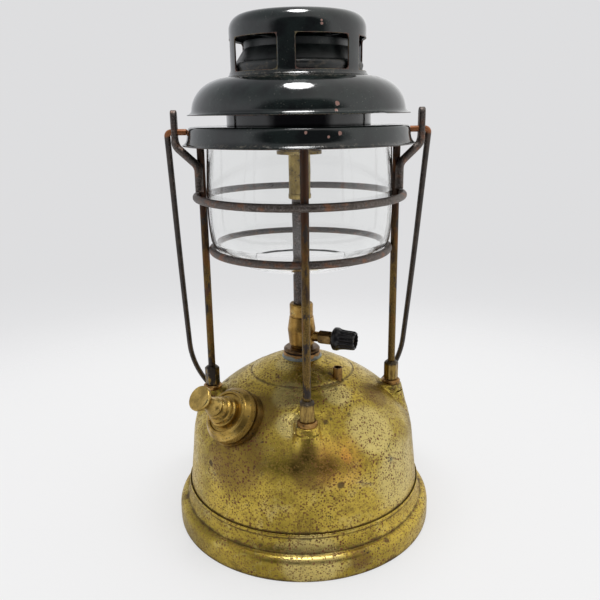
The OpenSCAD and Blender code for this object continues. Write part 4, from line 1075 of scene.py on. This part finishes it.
def make_hood():
    turned_node("glass_globe", clear_glass("lantern_glass"), turns=288, fillet=0.5, step=2.5)

    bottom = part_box("top_plate")[0].z
    piece = turned_copy("top_plate", turns=288, fillet=0.2)
    slot = [(-EYE_SLOT_HALF, bottom - MM), (EYE_SLOT_HALF, bottom - MM)]
    slot += [(EYE_SLOT_HALF * cos(a), BAIL_PIVOT.z + EYE_SLOT_HALF * sin(a)) for a in np.linspace(0, pi, 17)]
    for side in (1, -1):
        place = place_on((side * EYE_SLOT_FROM, 0, 0), (side, 0, 0), (0, side, 0))
        combine(piece, prism("slot_cut", slot, place, EYE_SLOT_DEPTH))
    chips = patches((18.6, -64.9, 258.3, 1.8), (0.7, -67.6, 259, 1.3), (12.5, -66.6, 256.6, 1.2))
    dress(piece, "top_plate", vitreous_enamel("plate_enamel", chips, (251.4, 252.6),
                  lambda paint: paint.past_height(bottom)))
    turned_node("hood_collar", vitreous_enamel("collar_enamel"), turns=200)
    turned_node("hood_flue", vitreous_enamel("flue_enamel", grime=(292, 297), gloss=(0.34, 0.55)), turns=200)

    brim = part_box("hood_dome")[0].z
    kept = 1 - BRIM_SHORTER / (BRIM_FLARE - brim)
    outline, closed = outline_of("hood_dome")
    outline = [np.array((r, z if z > BRIM_FLARE else BRIM_FLARE - (BRIM_FLARE - z) * kept)) for r, z in outline]
    piece = turned("hood_dome_piece", refined(outline, closed, fillet=0.2), closed, turns=360, shape=chipped)
    chips = patches((17.6, -61.8, 273.4, 1.9), (16.8, -62.4, 269.6, 1.7), (40, -50, 268.4, 2.2))
    dress(piece, "hood_dome", vitreous_enamel("dome_enamel", chips, (287.6, 289.4),
                  lambda paint: paint.past_height(brim + BRIM_SHORTER)))

    outline, closed = outline_of("hood_cap")
    wall = [p for p in outline if p[0] > 1 * MM and p[1] < 311 * MM]
    outline = crown(CAP_SHEET)[::-1] + wall + crown(0)
    piece = turned("hood_cap_piece", refined(outline, closed, fillet=0.2), closed, turns=288)
    middle = (WINDOWS["low"] + WINDOWS["high"]) / 2
    window = rounded_rectangle(WINDOWS["width"], WINDOWS["high"] - WINDOWS["low"], 2 * MM)
    for i in range(WINDOWS["count"]):
        turn = Matrix.Rotation(WINDOWS["turn"] + 2 * pi * i / WINDOWS["count"], 4, "Z")
        place = turn @ place_on((0, -CAP_WALL - 11 * MM, middle), (0, 1, 0), (1, 0, 0))
        combine(piece, prism("window_cut", window, place, 22 * MM))
    chips = patches((11.5, -38.9, 314.8, 1.2), (11.4, -38.9, 316.4, 1.0))
    dress(piece, "hood_cap", vitreous_enamel("cap_enamel", chips, (288.5, 291.6),
                  lambda paint: paint.past_windows(radius=CAP_WALL, **WINDOWS)))


# ---- Valve, burner and pump ----

ARM = ((0, 5.2), (3.35, 5.2), (3.35, 17), (0, 17))
KNOB = ((1.55, 21.8), (5.2, 21.8), (7.6, 23.4), (7.6, 25.8), (6.9, 27.4), (6.1, 37.0), (5.5, 37.8), (4.5, 37.8),
        (4.5, 33.8), (1.55, 33.8))


def fluted(count, depth, start, outside):
    """A shape for turned(): flutes along a knob's grip, past the start and outside a radius."""
    def shape(radius, height, angle):
        groove = (0.5 + 0.5 * np.cos(count * angle)) ** 1.6
        fade = np.clip((height - start) / (1.2 * MM), 0, 1) * np.clip((radius - outside) / (0.5 * MM), 0, 1)
        return radius - depth * groove * fade, height
    return shape


def knurled(ribs, depth, low, high, outside):
    """A shape for turned(): crossed grooves on the band between two heights and outside a radius."""
    def shape(radius, height, angle):
        slant = height * ribs / outside * 0.62
        groove = np.minimum(*(np.abs(np.sin((ribs * angle + way) / 2)) for way in (slant, -slant)))
        cut = depth * (1 - np.clip(groove * 1.6, 0, 1)) * faded_band(height, low, high, 0.3 * MM)
        return radius - cut * (radius > outside), height
    return shape


def make_valve():
    body = turned_brass("valve_brass", (0.46, 0.27, 0.07), 0.6)
    piece = turned_copy("control_body", turns=144, fillet=0.35, step=0.9)
    arm = turned("arm", refined([np.array(p) * MM for p in ARM], False, step=0.8), False, VALVE_AXIS, 72)
    combine(piece, arm, operation="UNION")
    combine(piece, plug("spindle_cut", VALVE_AXIS, 1.58, 0, 18, 48))
    dress(piece, "control_body", body)
    turned_node("flange_nut", turned_brass("flange_brown", (0.17, 0.10, 0.045), 0.7), turns=144, fillet=0.3)
    cover_each(soft_seal, ("seal_washer", "fibre_seal", (0.02, 0.015, 0.013)), ("gland_packing", "packing"))
    cover_each(turned_brass, ("gland_nut", "gland_brass", (0.30, 0.19, 0.075), 0.8), ("vaporiser_jet", "jet_brass"),
               ("valve_spindle", "spindle_brass"), ("knob_screw", "screw_brass", GOLD_BRASS, 0.8),
               ("fuel_pickup", "pickup_brass"))
    cover_each(oxidised_steel, ("vaporiser_tube", "vaporiser_steel", 0.25, (0.075, 0.062, 0.055)),
               ("pricker_needle", "needle_steel", 0.1), ("pickup_filter", "filter_steel", 0.1))

    knob = refined([np.array(p) * MM for p in KNOB], True, fillet=0.45, step=0.6)
    piece = turned("control_knob_piece", knob, True, VALVE_AXIS, 288, fluted(12, 0.95 * MM, 27.2 * MM, 4.7 * MM))
    dress(piece, "control_knob", black_bakelite("knob_bakelite"))


def make_burner():
    turned_node("mixing_tube", turned_brass("mixer_brass", (0.46, 0.33, 0.10), 0.7), turns=96)
    cover("burner_head", turned_brass("head_brass", (0.34, 0.24, 0.09), 0.9))
    cover_each(oxidised_steel, ("burner_bridge", "bridge_steel", 0.6), ("mixing_chamber", "chamber_steel", 0.5))


def make_pump():
    gold = turned_brass("pump_brass", (0.54, 0.35, 0.085), 0.7)
    knurl = knurled(88, 0.34 * MM, 1.9 * MM, 6.7 * MM, 17.2 * MM)
    dress(turned_copy("filler_cap", FILLER_AXIS, 880, knurl, 8, fillet=0.3, step=0.32), "filler_cap", gold)
    turned_node("pump_lid", gold, FILLER_AXIS, 144, fewest=8, fillet=0.35, step=0.6)
    turned_node("pump_knob", turned_brass("knob_brass", (0.62, 0.42, 0.12), 0.4), FILLER_AXIS, 144, fewest=8,
                fillet=0.3, step=0.6)
    cover("filler_neck", turned_brass("neck_brass", (0.40, 0.27, 0.09), 0.8))
    for node in ("pump_barrel", "piston_plate", "pump_rod", "piston_nut", "non_return_valve"):
        cover(node, turned_brass(node + "_brass"))
    cover_each(soft_seal, ("filler_washer", "filler_seal"), ("pump_cup", "cup_leather", (0.16, 0.075, 0.035), 0.6))


make_camera()
make_stage()
make_world()
make_lamp()
make_tank()
make_cage()
make_hood()
make_valve()
make_burner()
make_pump()

bpy.context.scene.view_settings.view_transform = "Standard"
